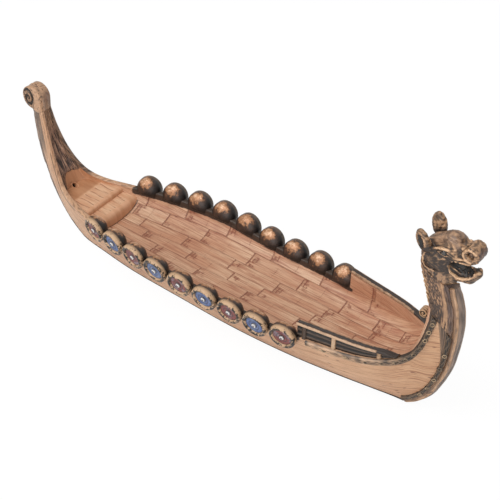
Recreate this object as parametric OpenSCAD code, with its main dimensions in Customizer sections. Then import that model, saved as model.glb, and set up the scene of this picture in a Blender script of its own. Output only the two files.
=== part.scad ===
/* [Shields] */
// Shields hung along each side
shield_count = 9; // [7:1:9]
// Distance between two neighbouring shields
shield_pitch = 14; // [13:0.1:14.2]
// Radius of one shield
shield_r = 6.4; // [5.8:0.1:6.6]
// How far the domed back stands into the boat
dome_depth = 4.8; // [4:0.1:5.2]
// How far the rounded rim stands out of the boat
rim_height = 2.9; // [2.6:0.1:3.2]
// Radius of the painted disc
face_r = 4.5; // [4:0.1:4.8]
// How far each shield leans its face down, in degrees
shield_tilt = 10; // [0:1:15]

/* [Hull] */
// Thickness of the flat sole under the hull
sole_h = 1.2; // [0.8:0.1:1.6]
// Thickness of the planked deck lining
lining = 1.2; // [0.8:0.1:1.5]
// How far the bow bands stand proud of the planking
band_t = 0.7; // [0.4:0.1:1]
// Width of the bow bands
band_w = 3.4; // [2.6:0.1:4]
// Radius of a rivet head on the bands
rivet_r = 0.8; // [0.6:0.1:1]
// How far the rounded keel stands in front of the stem
keel_bulge = 2.8; // [1.5:0.1:3]

/* [Bow bulwark] */
// Height of the bulwark's top edge above the ground
bulwark_top = 35; // [34:0.5:36]
// Thickness of the light top rail
rail_t = 1.5; // [1:0.1:2]
// Width of one window post
post_w = 1.8; // [1.2:0.1:2.4]

/* [Stern] */
// Height of the upper platform, which holds the stick
platform_z = 26.6; // [26:0.1:27]
// Height of the lower step
step_z = 24.2; // [23:0.1:24.8]
// Radius of the rolled scroll on the stern post
scroll_r = 6.1; // [5.6:0.1:6.4]
// Width of the scroll
scroll_w = 7.4; // [6.6:0.1:8]

/* [Incense stick hole] */
// Radius of the bore that takes the stick
bore_r = 1.1; // [1:0.05:1.3]
// Depth of the bore
bore_depth = 8; // [6:0.5:8]
// Outer radius of the ring round the bore
ring_r = 1.8; // [1.7:0.1:2.2]
// How steeply the stick stands, in degrees above level
stick_lean = 42; // [38:1:50]

/* [Dragon head] */
// Height of the ears' tips above the ground
ear_tip_z = 100; // [99:0.5:101]
// Radius of the upturned snout where it leaves the muzzle
snout_r = 2.3; // [2:0.1:2.4]
// Radius of the small curl at the foot of the mane
curl_r = 2.2; // [1.8:0.1:2.4]
// Radius of an eyeball
eye_r = 1.3; // [1.1:0.1:1.6]

/* [Hidden] */
SIDES = [["port", 1], ["starboard", -1]];

// Each row is one rib of the boat, from the top of the stern post to the top of the neck:
// keel x, keel height over the sole, keel half-width, rim x, inner and outer half-beam of the rim,
// rim z, and x and z of the middle of the inside
RIBS = [
    [-115.4, 64.8, 2.2, -109.4, 1.8, 3.2, 65.5, -110.8, 65.2],
    [-114.4, 53.8, 2.2, -106.8, 2.4, 4.0, 55.5, -108.8, 54.8],
    [-112.3, 40.8, 2.4, -102.6, 3.8, 5.8, 44.0, -105.2, 43.0],
    [-107.6, 26.8, 2.8,  -97.4, 5.9, 8.3, 35.0,  -99.8, 33.8],
    [ -99.6, 11.8, 3.2,  -91.5, 8.4, 11.0, 29.9, -94.6, 24.0],
    [ -87.5,  1.6, 4.4,  -83.0, 10.9, 13.8, 28.1, -84.0, 20.6],
    [ -73.0,  0.0, 6.4,  -72.0, 14.0, 17.0, 27.9, -72.0, 18.8],
    [ -50.0,  0.0, 9.2,  -50.0, 18.7, 21.7, 29.0, -50.0, 19.0],
    [ -20.0,  0.0, 10.4, -20.0, 22.2, 25.2, 29.5, -20.0, 19.3],
    [  12.0,  0.0, 11.3,  12.0, 21.7, 24.7, 27.4,  12.0, 19.0],
    [  42.0,  0.0, 10.1,  42.0, 21.2, 24.2, 27.7,  42.0, 18.8],
    [  66.0,  0.0, 7.4,   66.0, 18.2, 21.2, 28.4,  66.0, 19.3],
    [  84.0,  0.0, 4.6,   84.0, 15.4, 18.2, 30.0,  85.0, 21.5],
    [  98.0,  0.0, 2.6,   96.0, 12.0, 14.6, 33.2,  95.0, 25.5],
    [ 107.2,  8.0, 3.0,  103.2, 9.8, 12.0, 38.4,  100.0, 32.5],
    [ 112.8, 19.0, 3.6,  106.8, 7.8, 9.8, 45.2,   103.0, 41.0],
    [ 116.5, 33.0, 3.8,  108.2, 6.2, 7.7, 52.6,   105.0, 53.0],
    [ 117.8, 48.8, 3.8,  108.6, 5.1, 5.9, 59.4,   104.5, 63.9],
    [ 116.9, 60.0, 3.4,  107.4, 4.5, 5.0, 68.0,   101.8, 71.8],
    [ 113.2, 72.0, 2.8,  104.4, 4.4, 4.8, 78.0,    98.2, 81.6]];
ROW_ARCH = 3.1;      // where the feathered web gives way to the smooth niche
ROW_DECK = 6.35;     // where the planked deck begins, at the foot of the lower step
ROW_SHIELDS = 6.2;   // where the shield-bearing gunwale begins
ROW_BULWARK = 10.5;  // where the bow bulwark begins
ROW_POINT = 13.4;    // where the bulwark runs out to a point
ROW_NECK = 17;       // where the hull ends and the neck begins
ROW_THROAT = 19;     // top of the neck
SOLE_ROWS = [5.7, 13.1];
BAND_FROM = 10.7;    // where the riveted band under the bulwark begins
RIVET_STEP = 0.55;   // distance between rivets, in rows
STEP = 1 / 4;        // ribs are drawn this far apart, in rows

BULGE = [0.68, 0.43];       // how far the side's control point lies out and up from the keel
FLOOR_POWER = 0.8;          // below 1 the floor is flatter and the bilge tighter than an ellipse
RAIL_FROM = 0.76;           // where the rail begins on the outside, from keel 0 to rim 1
LINING_TO = 0.66;           // where the lining ends on the inside, from middle 0 to rim 1
SHIELD_X5 = -6.7;           // x of the middle shield
SHIELD_OUT = 3;             // shield centre, out from the rim's inner edge
SHIELD_DOWN = 0.7;          // shield centre, below the rim
SHIELD_CUT = 22;            // sides of the pocket that each shield sits in
BETWEEN_SHIELDS = [0.93, 0.95];  // the wall stops short of the rim between the shields
HOLE = [-94.7, 0, 26.9];    // middle of the incense hole's mouth
WAY_OUT = 3;                // the platform is cut back this far in front of the mouth
SCROLL = [-115.4, 0, 71.2]; // middle of the stern scroll
CURL = [102.8, 0, 53.6];    // middle of the small curl behind the neck
EYE_AT = [111.2, 5.1, 89.6];
MOUTH = [115.4, 0, 84.6];    // middle of the mouth hollow
TOOTH_X = [117.6, 119.3, 121];
BRONZE = "#5d4636";
TAN = "#d0a075";
PLANK = "#c9937a";
CREAM = "#e0b98a";

function lerp(a, b, t) = a + (b - a) * t;
function unit(v) = v / norm(v);
// Catmull-Rom curve through one column of the ribs
function rib(u, c) =
    let (i = min(max(floor(u), 0), len(RIBS) - 2), t = u - i,
         p1 = RIBS[i][c], p2 = RIBS[i + 1][c],
         p0 = i > 0 ? RIBS[i - 1][c] : 2 * p1 - p2,
         p3 = i < len(RIBS) - 2 ? RIBS[i + 2][c] : 2 * p2 - p1)
    p1 + 0.5 * t * (p2 - p0 + t * (2 * p0 - 5 * p1 + 4 * p2 - p3 + t * (3 * (p1 - p2) + p3 - p0)));
function keel(u) = [rib(u, 0), 0, max(rib(u, 1), 0) + sole_h];
function rim_in(u) = [rib(u, 3), rib(u, 4), rib(u, 6)];
function rim_out(u) = [rib(u, 3), rib(u, 5), rib(u, 6)];
function row_at(x) = search_row(x, 0, len(RIBS) - 1, 24);
function search_row(x, lo, hi, n) =
    n == 0 ? (lo + hi) / 2 : let (m = (lo + hi) / 2)
    rib(m, 3) < x ? search_row(x, m, hi, n - 1) : search_row(x, lo, m, n - 1);

// A point on the outside, from the keel's edge at t = 0 to the rim at t = 1
function outside(u, t, side = 1) =
    let (k = keel(u) + [0, rib(u, 2), 0], r = rim_out(u), d = r - k,
         c = k + [BULGE[1] * d[0], BULGE[0] * d[1], BULGE[1] * d[2]],
         p = (1 - t) * (1 - t) * k + 2 * t * (1 - t) * c + t * t * r)
    [p[0], side * p[1], p[2]];
// A point on the inside, from the middle at p = 0 to the rim at p = 1
function inside(u, p, side = 1) =
    let (s = pow(max(sin(90 * p), 0), FLOOR_POWER), q = 1 - pow(max(cos(90 * p), 0), FLOOR_POWER))
    [lerp(rib(u, 7), rib(u, 3), q), side * rib(u, 4) * s, lerp(rib(u, 8), rib(u, 6), q)];
// The same point under the lining
function under(u, p, side = 1) =
    let (a = inside(u, p, side), g = p / LINING_TO, aim = lerp(keel(u), outside(u, RAIL_FROM, side), g))
    a + lining * unit(aim - a);
// Direction out of the planking
function out_of(u, t, side = 1) =
    let (a = outside(u + 0.02, t, side) - outside(u - 0.02, t, side),
         b = outside(u, min(t + 0.02, 1), side) - outside(u, t - 0.02, side))
    side * unit(cross(b, a));
function proud(u, t, side, h) = outside(u, t, side) + h * out_of(u, t, side);
// Direction out of the keel's line
function keel_out(u) =
    let (d = keel(u + 0.02) - keel(u - 0.02)) unit([d[2], 0, -d[0]]);

// Rows from a to b, with both ends in
function rows(a, b, step = STEP) =
    concat([a], [for (i = [ceil(a / step + 0.2) : floor(b / step - 0.2)]) i * step], [b]);
OUT_T = [0, 0.2, 0.4, 0.6, RAIL_FROM];
LINING_P = [for (i = [0 : 5]) i / 5 * LINING_TO];
function rev(v) = [for (i = [len(v) - 1 : -1 : 0]) v[i]];
function shell_chain(u) = concat(
    [for (t = rev(OUT_T)) outside(u, t, -1)], [keel(u)], [for (t = OUT_T) outside(u, t, 1)]);
function under_chain(u) = concat(
    [for (i = [5 : -1 : 1]) under(u, LINING_P[i], -1)], [for (i = [0 : 5]) under(u, LINING_P[i], 1)]);
function lining_chain(u) = concat(
    [for (i = [5 : -1 : 1]) inside(u, LINING_P[i], -1)], [for (i = [0 : 5]) inside(u, LINING_P[i], 1)]);
NECK_T = [0, 0.2, 0.4, 0.6, 0.8, 1];
function neck_front(u) = concat(
    [for (t = rev(NECK_T)) outside(u, t, -1)], [keel(u)], [for (t = NECK_T) outside(u, t, 1)]);
function neck_back(u) = concat(
    [for (i = [6 : -1 : 1]) inside(u, i / 6, -1)], [for (i = [0 : 6]) inside(u, i / 6, 1)]);

// A closed solid between two grids of points of the same size; a is its outside
module slab(a, b, flip = false) {
    n = len(a);
    m = len(a[0]);
    function at(g, i, j) = (g * n + i) * m + j;
    function quad(p, q, r, s) = [[p, q, r], [p, r, s]];
    skin = [for (i = [0 : n - 2]) for (j = [0 : m - 2]) for (f = concat(
        quad(at(0, i, j), at(0, i, j + 1), at(0, i + 1, j + 1), at(0, i + 1, j)),
        quad(at(1, i, j), at(1, i + 1, j), at(1, i + 1, j + 1), at(1, i, j + 1)))) f];
    ends = [for (j = [0 : m - 2]) for (f = concat(
        quad(at(0, 0, j), at(1, 0, j), at(1, 0, j + 1), at(0, 0, j + 1)),
        quad(at(0, n - 1, j), at(0, n - 1, j + 1), at(1, n - 1, j + 1), at(1, n - 1, j)))) f];
    edges = [for (i = [0 : n - 2]) for (f = concat(
        quad(at(0, i, 0), at(0, i + 1, 0), at(1, i + 1, 0), at(1, i, 0)),
        quad(at(0, i, m - 1), at(1, i, m - 1), at(1, i + 1, m - 1), at(0, i + 1, m - 1)))) f];
    faces = concat(skin, ends, edges);
    polyhedron([for (g = [a, b]) for (row = g) for (p = row) p],
        flip ? [for (f = faces) [f[0], f[2], f[1]]] : faces);
}
// Joins or cuts freeform solids as one faceted skin
module carved() resize([0, 0, 0]) children();
module both_sides() {
    children();
    mirror([0, 1, 0]) children();
}

module hull_shell() color(TAN) carved() difference() {
    us = rows(0, ROW_NECK);
    slab([for (u = us) shell_chain(u)], [for (u = us) under_chain(u)]);
    socket_body();
    scroll_body();
}
function sole_edges(u, z) = let (x = rib(u, 0), b = rib(u, 2)) [[x, -b, z], [x, b, z]];
module sole() color(BRONZE) {
    us = rows(SOLE_ROWS[0], SOLE_ROWS[1]);
    slab([for (u = us) sole_edges(u, 0)], [for (u = us) sole_edges(u, sole_h)]);
}
module lining_piece(u0, u1) {
    us = rows(u0, u1);
    slab([for (u = us) under_chain(u)], [for (u = us) lining_chain(u)]);
}
module deck_lining() color(PLANK) lining_piece(ROW_DECK, ROW_NECK);
module stern_lining() color(TAN) carved() difference() {
    lining_piece(ROW_ARCH, ROW_DECK);
    socket_body();
}
module stern_web() color(BRONZE) carved() difference() {
    lining_piece(0, ROW_ARCH);
    scroll_body();
}

// The wall's top strip, between two rows; top is how far up it goes, outside and inside
RAIL_F = [0, 0.35, 0.7, 1];
module rail_piece(u0, u1, side, top = [1, 1]) {
    us = rows(u0, u1);
    slab([for (u = us) [for (f = RAIL_F) outside(u, lerp(RAIL_FROM, top[0], f), side)]],
         [for (u = us) [for (f = RAIL_F) inside(u, lerp(LINING_TO, top[1], f), side)]], side < 0);
}
module stern_rim(side) color(TAN) carved() difference() {
    rail_piece(0, ROW_SHIELDS, side);
    scroll_body();
    place_shield(1, side) shield_body(SHIELD_CUT);
}
module gunwale(side) color(TAN) carved() difference() {
    rail_piece(ROW_SHIELDS, ROW_BULWARK, side, BETWEEN_SHIELDS);
    for (i = [1 : shield_count]) place_shield(i, side) shield_body(SHIELD_CUT);
}
module bow_strake(side) color(TAN) carved() difference() {
    rail_piece(ROW_BULWARK, ROW_NECK, side);
    place_shield(shield_count, side) shield_body(SHIELD_CUT);
}

// A rounded strip down the middle of the stem or the stern post
KEEL_Q = [-1, -0.6, 0, 0.6, 1];
module keel_piece(u0, u1) {
    us = rows(u0, u1);
    function strip(u, h) = [for (q = KEEL_Q)
        let (p = keel(u) + [0, q * rib(u, 2), 0] + h * (1 - 0.75 * q * q) * keel_out(u))
        [p[0], p[1], max(p[2], 0)]];
    slab([for (u = us) strip(u, keel_bulge)], [for (u = us) strip(u, 0)]);
}
module stem_keel() color(BRONZE) keel_piece(SOLE_ROWS[1], ROW_THROAT - 0.5);
module stern_keel() color(BRONZE) carved() difference() {
    keel_piece(0, SOLE_ROWS[0]);
    scroll_body();
}

// A strip of even width that stands proud of the planking, from height t up or down
function side_length(u) = norm(rim_out(u) - keel(u) - [0, rib(u, 2), 0]);
module band_piece(u0, u1, t, w, side) {
    us = rows(u0, u1);
    function ts(u) = [for (f = [0, 0.5, 1]) t + (w < 0 ? 1 - f : f) * w / side_length(u)];
    slab([for (u = us) [for (v = ts(u)) proud(u, v, side, band_t)]],
         [for (u = us) [for (v = ts(u)) outside(u, v, side)]], side < 0);
}
module bow_band(side) color(BRONZE) band_piece(BAND_FROM, ROW_NECK, 1, -band_w, side);
module stem_band(side) color(BRONZE) band_piece(SOLE_ROWS[1], ROW_NECK, 0.03, band_w, side);
// Rivet heads along the middle of both bands
module rivets() color(BRONZE) for (s = SIDES) {
    for (u = [BAND_FROM + 0.4 : RIVET_STEP : ROW_NECK - 0.3]) rivet(u, 1, -band_w, s[1]);
    for (u = [SOLE_ROWS[1] + 0.4 : RIVET_STEP : ROW_NECK - 0.3]) rivet(u, 0.03, band_w, s[1]);
}
module rivet(u, t, w, side) {
    at = proud(u, t + 0.5 * w / side_length(u), side, band_t);
    n = out_of(u, t + 0.5 * w / side_length(u), side);
    translate(at) rotate([0, acos(n[2]), atan2(n[1], n[0])]) rotate_extrude($fn = 24)
        polygon(concat([[0, 0]], [for (a = [0 : 15 : 90]) rivet_r * [cos(a), 0.7 * sin(a)]]));
}

// The bulwark: v runs from the rim to its top edge, h out from its inner face
WALL_T = 1.6;        // thickness of the bulwark's wall
PANEL_T = 0.4;       // thickness of the dark window panels on it
POST_OUT = 0.7;      // how far a window post stands out of the panel
BULWARK_RISE = 7.4;  // most that the bulwark rises over the rim
function bulwark_z(u) = let (z = rib(u, 6)) max(z + 0.4, min(bulwark_top, z + BULWARK_RISE));
function bulwark(u, v, h, side) =
    [rib(u, 3), side * (rib(u, 4) + h), lerp(rib(u, 6), bulwark_z(u), v)];
module bulwark_piece(u0, u1, v0, v1, h0, h1, side) {
    us = rows(u0, u1);
    slab([for (u = us) [bulwark(u, v0, h1, side), bulwark(u, v1, h1, side)]],
         [for (u = us) [bulwark(u, v0, h0, side), bulwark(u, v1, h0, side)]], side < 0);
}
module bow_bulwark(side) color(TAN) carved() difference() {
    bulwark_piece(ROW_BULWARK, ROW_POINT, 0, 1, 0, WALL_T, side);
    place_shield(shield_count, side) shield_body(SHIELD_CUT);
}
module window_panels() color("#1c1917") carved() for (s = SIDES) difference() {
    bulwark_piece(ROW_BULWARK, ROW_POINT, 0, 1, WALL_T, WALL_T + PANEL_T, s[1]);
    place_shield(shield_count, s[1]) shield_body(SHIELD_CUT);
}
POST_X = [58.2, 72, 92];
module window_posts() color(CREAM) for (s = SIDES) for (x = POST_X)
    bulwark_piece(row_at(x - post_w / 2), row_at(x + post_w / 2), 0, 1,
        WALL_T + PANEL_T, WALL_T + PANEL_T + POST_OUT, s[1]);
function bow_rail_row(u, z, side) =
    [for (h = [-0.2, WALL_T + PANEL_T + POST_OUT + 0.3]) bulwark(u, 1, h, side) + [0, 0, z]];
module bow_rail(side) color(CREAM) {
    us = rows(ROW_BULWARK, ROW_POINT);
    slab([for (u = us) bow_rail_row(u, 0, side)], [for (u = us) bow_rail_row(u, rail_t, side)], side < 0);
}

// Platforms at the stern: level tops that round down over a riser
function level_p(u, z) =
    let (q = min(max((z - rib(u, 8)) / (rib(u, 6) - rib(u, 8)), 0.02), 0.98))
    acos(pow(1 - q, 1 / FLOOR_POWER)) / 90;
module platform_piece(u0, u1, top, foot) {
    us = concat(rows(u0, u1 - 0.18), [for (i = [3 : -1 : 0]) u1 - 0.045 * i]);
    function height(u) = let (d = max(0, 1 - (u1 - u) / 0.18)) top - (top - foot) * (1 - sqrt(1 - d * d));
    function bottom(u) = let (p = level_p(u, height(u)))
        [for (i = [-6 : 6]) inside(u, abs(i) / 6 * p, i < 0 ? -1 : 1)];
    function deck(u) = let (w = inside(u, level_p(u, height(u)), 1), m = inside(u, 0, 1))
        [for (i = [-6 : 6]) let (e = inside(u, abs(i) / 6 * level_p(u, height(u)), i < 0 ? -1 : 1))
            [e[0] + (height(u) - e[2]) * (w[0] - m[0]) / max(w[2] - m[2], 0.5), e[1], height(u)]];
    slab([for (u = us) bottom(u)], [for (u = us) deck(u)]);
}
module stern_platform() color(TAN) carved() difference() {
    platform_piece(4, row_at(-74.6), platform_z, step_z);
    socket_body(WAY_OUT);
}
module stern_step() color(TAN) platform_piece(row_at(-74.6), row_at(-65.8), step_z, step_z - 4.6);

// The round socket that takes the incense stick, leaning towards the bow
module at_hole() translate(HOLE) rotate([0, 90 - stick_lean, 0]) children();
module socket_body(beyond = 0) at_hole() translate([0, 0, -bore_depth - 1])
    cylinder(r = ring_r, h = bore_depth + 1 + beyond, $fn = 32);
module stick_socket() color(TAN) difference() {
    socket_body();
    at_hole() translate([0, 0, -bore_depth]) cylinder(r = bore_r, h = bore_depth + 1, $fn = 32);
}

module scroll_body() translate(SCROLL) rotate([90, 0, 0])
    cylinder(r = scroll_r, h = scroll_w, center = true, $fn = 40);
module stern_scroll() color(BRONZE) difference() {
    scroll_body();
    both_sides() translate(SCROLL) rotate([-90, 0, 0]) translate([0, 0, scroll_w / 2 - 0.8])
        rotate_extrude($fn = 40) translate([scroll_r / 2 - 0.8, 0]) square([2.2, 2]);
}

// One shield: domed back, rounded rim and a recess for the painted disc; its axis is +Z
module shield_body(fn) rotate_extrude($fn = fn) polygon(concat(
    [for (a = [0 : 10 : 90]) [shield_r * sin(a), -dome_depth * cos(a)]],
    [[shield_r, 0.6], [shield_r - 0.35, rim_height - 0.5], [shield_r - 1, rim_height],
     [face_r, rim_height - 0.5], [face_r, rim_height - 1.1], [0, rim_height - 1.1]]));
function shield_x(i) = SHIELD_X5 + (i - (shield_count + 1) / 2) * shield_pitch;
module place_shield(i, side) {
    u = row_at(shield_x(i));
    r = rim_in(u);
    t = rim_out(u + 0.05) - rim_out(u - 0.05);
    translate([r[0], side * (r[1] + SHIELD_OUT), r[2] - SHIELD_DOWN])
        rotate([0, 0, side * (90 + atan(t[1] / t[0]))]) rotate([0, 90 + shield_tilt, 0]) children();
}
module shield(i, side) color(BRONZE) place_shield(i, side) shield_body(48);
module shield_faces(odd) for (s = SIDES) for (i = [2 - odd : 2 : shield_count]) place_shield(i, s[1])
    translate([0, 0, rim_height - 1.1]) cylinder(r = face_r, h = 0.5, $fn = 40);
module shield_faces_red() color("#8d4038") shield_faces(1);
module shield_faces_blue() color("#54668f") shield_faces(0);
module shield_bosses() color("silver") for (s = SIDES) for (i = [1 : shield_count])
    place_shield(i, s[1]) translate([0, 0, rim_height - 0.6])
        rotate_extrude($fn = 24) polygon([for (a = [0 : 15 : 90]) [1.2 * cos(a), 0.8 * sin(a)], [0, 0]]);

module neck() color(BRONZE) carved() difference() {
    us = rows(ROW_NECK, ROW_THROAT);
    slab([for (u = us) neck_front(u)], [for (u = us) neck_back(u)]);
    skull_body();
    jaw_block();
}
// Raised half-rings across the back of the neck
RIDGE_P = [-0.7, -0.35, 0, 0.35, 0.7];
function ridge_row(u, h) = [for (p = RIDGE_P)
    let (a = inside(u, abs(p), p < 0 ? -1 : 1)) a + h * unit(a - lerp(keel(u), inside(u, 0), 0.5))];
module neck_ridges() color(CREAM) for (u = [ROW_NECK + 0.1 : 0.3 : ROW_THROAT - 0.5])
    slab([for (v = [0, 0.07, 0.14]) ridge_row(u + v, 0)],
         [for (v = [0, 0.07, 0.14]) ridge_row(u + v, 0.3 + 4 * v * (0.14 - v) / 0.0098)]);
// A small curl where the mane ends, against the back of the neck
module mane_curl() color(CREAM) translate(CURL) rotate([90, 0, 0])
    cylinder(r = curl_r, h = 3.6, center = true, $fn = 32);

module ball(p, r) translate(p) sphere(r, $fn = 20);
module skull_body() {
    hull() both_sides() {
        ball([103.6, 1.6, 84], 5.2);
        ball([104.6, 1.8, 91.6], 4.6);
        ball([111.2, 1.6, 92.6], 4.8);
        ball([109.5, 1.4, 84], 5);
    }
}
module muzzle_body() hull() both_sides() {
    ball([112, 1.6, 88.8], 3.6);
    ball([120.4, 1.2, 90.4], 2.4);
}
module jaw_block() hull() both_sides() {
    ball([107.5, 1.8, 80.6], 3.8);
    ball([121.2, 1, 82.4], 2.5);
}
module dragon_skull() color(BRONZE) carved() difference() {
    skull_body();
    eye_balls();
}
module upper_jaw() color(BRONZE) carved() difference() {
    muzzle_body();
    skull_body();
}
module lower_jaw() color(BRONZE) carved() {
    difference() {
        jaw_block();
        skull_body();
        translate(MOUTH) rotate([0, -6, 0]) scale([6.6, 2.3, 2.6]) sphere(1, $fn = 24);
    }
    both_sides() for (x = TOOTH_X) translate([x, 2.6 - 0.25 * (x - TOOTH_X[0]), 83])
        cylinder(r1 = 0.6, r2 = 0.1, h = 2.4, $fn = 12);
}
module snout_curl() color(BRONZE) carved() difference() {
    hull() {
        ball([114.8, 0, 91.4], snout_r);
        ball([121.2, 0, 96.3], snout_r + 1);
    }
    muzzle_body();
    skull_body();
}
module eye_balls() both_sides() ball(EYE_AT, eye_r);
module eyes() color("#14100d") eye_balls();
module ear(side) color(BRONZE) carved() difference() {
    hull() {
        ball([103.4, side * 5, 91.5], 2.4);
        ball([100.6, side * 6.2, 96.5], 2.5);
        ball([99.4, side * 6.6, ear_tip_z - 1.4], 1.4);
    }
    hull() {
        ball([103.2, side * 8, 94], 1.4);
        ball([101, side * 8.6, 98.4], 1);
    }
    skull_body();
}

hull_shell();
sole();
deck_lining();
stern_lining();
stern_web();
stern_keel();
stem_keel();
stern_platform();
stern_step();
stick_socket();
stern_scroll();
neck();
neck_ridges();
mane_curl();
dragon_skull();
upper_jaw();
lower_jaw();
snout_curl();
eyes();
window_panels();
window_posts();
rivets();
shield_faces_red();
shield_faces_blue();
shield_bosses();
for (s = SIDES) {
    stern_rim(s[1]);
    gunwale(s[1]);
    bow_strake(s[1]);
    bow_bulwark(s[1]);
    bow_rail(s[1]);
    bow_band(s[1]);
    stem_band(s[1]);
    ear(s[1]);
    for (i = [1 : shield_count])
        shield(i, s[1]);
}
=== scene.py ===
import math

import bmesh
import bpy
import numpy as np
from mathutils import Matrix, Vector


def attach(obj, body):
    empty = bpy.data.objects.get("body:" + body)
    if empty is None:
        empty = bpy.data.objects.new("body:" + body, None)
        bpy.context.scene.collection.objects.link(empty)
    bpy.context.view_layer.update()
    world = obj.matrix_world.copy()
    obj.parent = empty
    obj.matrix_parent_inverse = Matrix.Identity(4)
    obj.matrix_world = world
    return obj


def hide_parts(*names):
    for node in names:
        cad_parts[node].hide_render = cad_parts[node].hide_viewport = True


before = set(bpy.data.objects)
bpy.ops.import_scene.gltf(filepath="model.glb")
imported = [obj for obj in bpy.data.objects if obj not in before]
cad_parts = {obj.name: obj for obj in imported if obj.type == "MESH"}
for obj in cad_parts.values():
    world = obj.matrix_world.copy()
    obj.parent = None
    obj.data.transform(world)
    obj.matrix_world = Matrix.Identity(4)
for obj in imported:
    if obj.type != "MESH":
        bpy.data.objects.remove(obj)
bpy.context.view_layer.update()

# ---- Hull ------------------------------------------------------------------------------------
# The outer body of the boat, cast as one thick shell of filled resin. Its sides flare from a
# narrow keel along twenty ribs, and are combed lengthwise to look like split planks.
# Sizes are in millimetres, and mesh_of turns them into metres.
MM = 0.001
SOLE = 1.2
LINING = 1.2
# how the outer skin bulges between keel and rim, and how round the inner floor is
BULGE = np.array([0.43, 0.68, 0.43])
FLOOR_POWER = 0.8
# where the wall's top strip takes over from the outer skin and from the lining
RAIL_FROM = 0.76
LINING_TO = 0.66
# keel x, keel height, keel half-width, rim x, inner and outer half-beam, rim z, middle x and z
RIBS = np.array([
    [-115.4, 64.8, 2.2, -109.4, 1.8, 3.2, 65.5, -110.8, 65.2],
    [-114.4, 53.8, 2.2, -106.8, 2.4, 4.0, 55.5, -108.8, 54.8],
    [-112.3, 40.8, 2.4, -102.6, 3.8, 5.8, 44.0, -105.2, 43.0],
    [-107.6, 26.8, 2.8, -97.4, 5.9, 8.3, 35.0, -99.8, 33.8],
    [-99.6, 11.8, 3.2, -91.5, 8.4, 11.0, 29.9, -94.6, 24.0],
    [-87.5, 1.6, 4.4, -83.0, 10.9, 13.8, 28.1, -84.0, 20.6],
    [-73.0, 0.0, 6.4, -72.0, 14.0, 17.0, 27.9, -72.0, 18.8],
    [-50.0, 0.0, 9.2, -50.0, 18.7, 21.7, 29.0, -50.0, 19.0],
    [-20.0, 0.0, 10.4, -20.0, 22.2, 25.2, 29.5, -20.0, 19.3],
    [12.0, 0.0, 11.3, 12.0, 21.7, 24.7, 27.4, 12.0, 19.0],
    [42.0, 0.0, 10.1, 42.0, 21.2, 24.2, 27.7, 42.0, 18.8],
    [66.0, 0.0, 7.4, 66.0, 18.2, 21.2, 28.4, 66.0, 19.3],
    [84.0, 0.0, 4.6, 84.0, 15.4, 18.2, 30.0, 85.0, 21.5],
    [98.0, 0.0, 2.6, 96.0, 12.0, 14.6, 33.2, 95.0, 25.5],
    [107.2, 8.0, 3.0, 103.2, 9.8, 12.0, 38.4, 100.0, 32.5],
    [112.8, 19.0, 3.6, 106.8, 7.8, 9.8, 45.2, 103.0, 41.0],
    [116.5, 33.0, 3.8, 108.2, 6.2, 7.7, 52.6, 105.0, 53.0],
    [117.8, 48.8, 3.8, 108.6, 5.1, 5.9, 59.4, 104.5, 63.9],
    [116.9, 60.0, 3.4, 107.4, 4.5, 5.0, 68.0, 101.8, 71.8],
    [113.2, 72.0, 2.8, 104.4, 4.4, 4.8, 78.0, 98.2, 81.6]])
# rows, counted along the ribs, where one piece or colour gives way to the next
ROW_ARCH = 3.1
ROW_SHIELDS = 6.2
ROW_DECK = 6.35
ROW_BULWARK = 10.5
ROW_POINT = 13.4
ROW_NECK = 17
ROW_THROAT = 19
SOLE_ROWS = (5.7, 13.1)
SWEEP_ROWS = (12.3, 15.0)
AGED_ROWS = (1.0, 2.8)
# sharper edges are shaded as edges, and a mark of FAR says that no seam or joint is near
SMOOTH_ANGLE = math.radians(48)
FAR = 9.0


def ribs_at(u):
    """The nine rib values at rows u, on a smooth curve through the ribs."""
    u = np.asarray(u, float)
    i = np.clip(np.floor(u).astype(int), 0, len(RIBS) - 2)
    t = (u - i)[..., None]
    ends = np.vstack([2 * RIBS[0] - RIBS[1], RIBS, 2 * RIBS[-1] - RIBS[-2]])
    a, b, c, d = ends[i], ends[i + 1], ends[i + 2], ends[i + 3]
    return b + 0.5 * t * (c - a + t * (2 * a - 5 * b + 4 * c - d + t * (3 * (b - c) + d - a)))


def outside(u, t, side):
    """The outer skin, from the keel's edge at t 0 to the rim at t 1. Side 0 is the keel's middle."""
    r = ribs_at(u)[:, None, :]
    keel = np.stack([r[..., 0], r[..., 2], np.maximum(r[..., 1], 0) + SOLE], -1)
    rim = r[..., [3, 5, 6]]
    t = np.atleast_2d(t).astype(float)[..., None]
    middle = keel + BULGE * (rim - keel)
    points = (1 - t) ** 2 * keel + 2 * t * (1 - t) * middle + t * t * rim
    points[..., 1] *= np.broadcast_to(side, points.shape[1])[None, :]
    return points


def inside(u, p):
    """The inner skin, from the middle at p 0 to the rims at p -1 and 1."""
    r = ribs_at(u)[:, None, :]
    p = np.asarray(p, float)[None, :]
    quarter = np.pi / 2 * np.abs(p)
    out = np.sin(quarter) ** FLOOR_POWER
    up = 1 - np.maximum(np.cos(quarter), 0) ** FLOOR_POWER
    return np.stack([r[..., 7] + (r[..., 3] - r[..., 7]) * up, np.sign(p) * r[..., 4] * out,
                     r[..., 8] + (r[..., 6] - r[..., 8]) * up], -1)


def unit(v):
    """The same directions, one long."""
    return v / np.maximum(np.linalg.norm(v, axis=-1, keepdims=True), 1e-9)


def under(u, p):
    """The inner skin, moved into the wall by the lining's thickness."""
    skin = inside(u, p)
    share = np.abs(p)[None, :, None] / LINING_TO
    low = outside(u, np.zeros(len(p)), 0)
    high = outside(u, np.full(len(p), RAIL_FROM), np.where(np.asarray(p) < 0, -1, 1))
    return skin + LINING * unit(low + (high - low) * share - skin)


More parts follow.
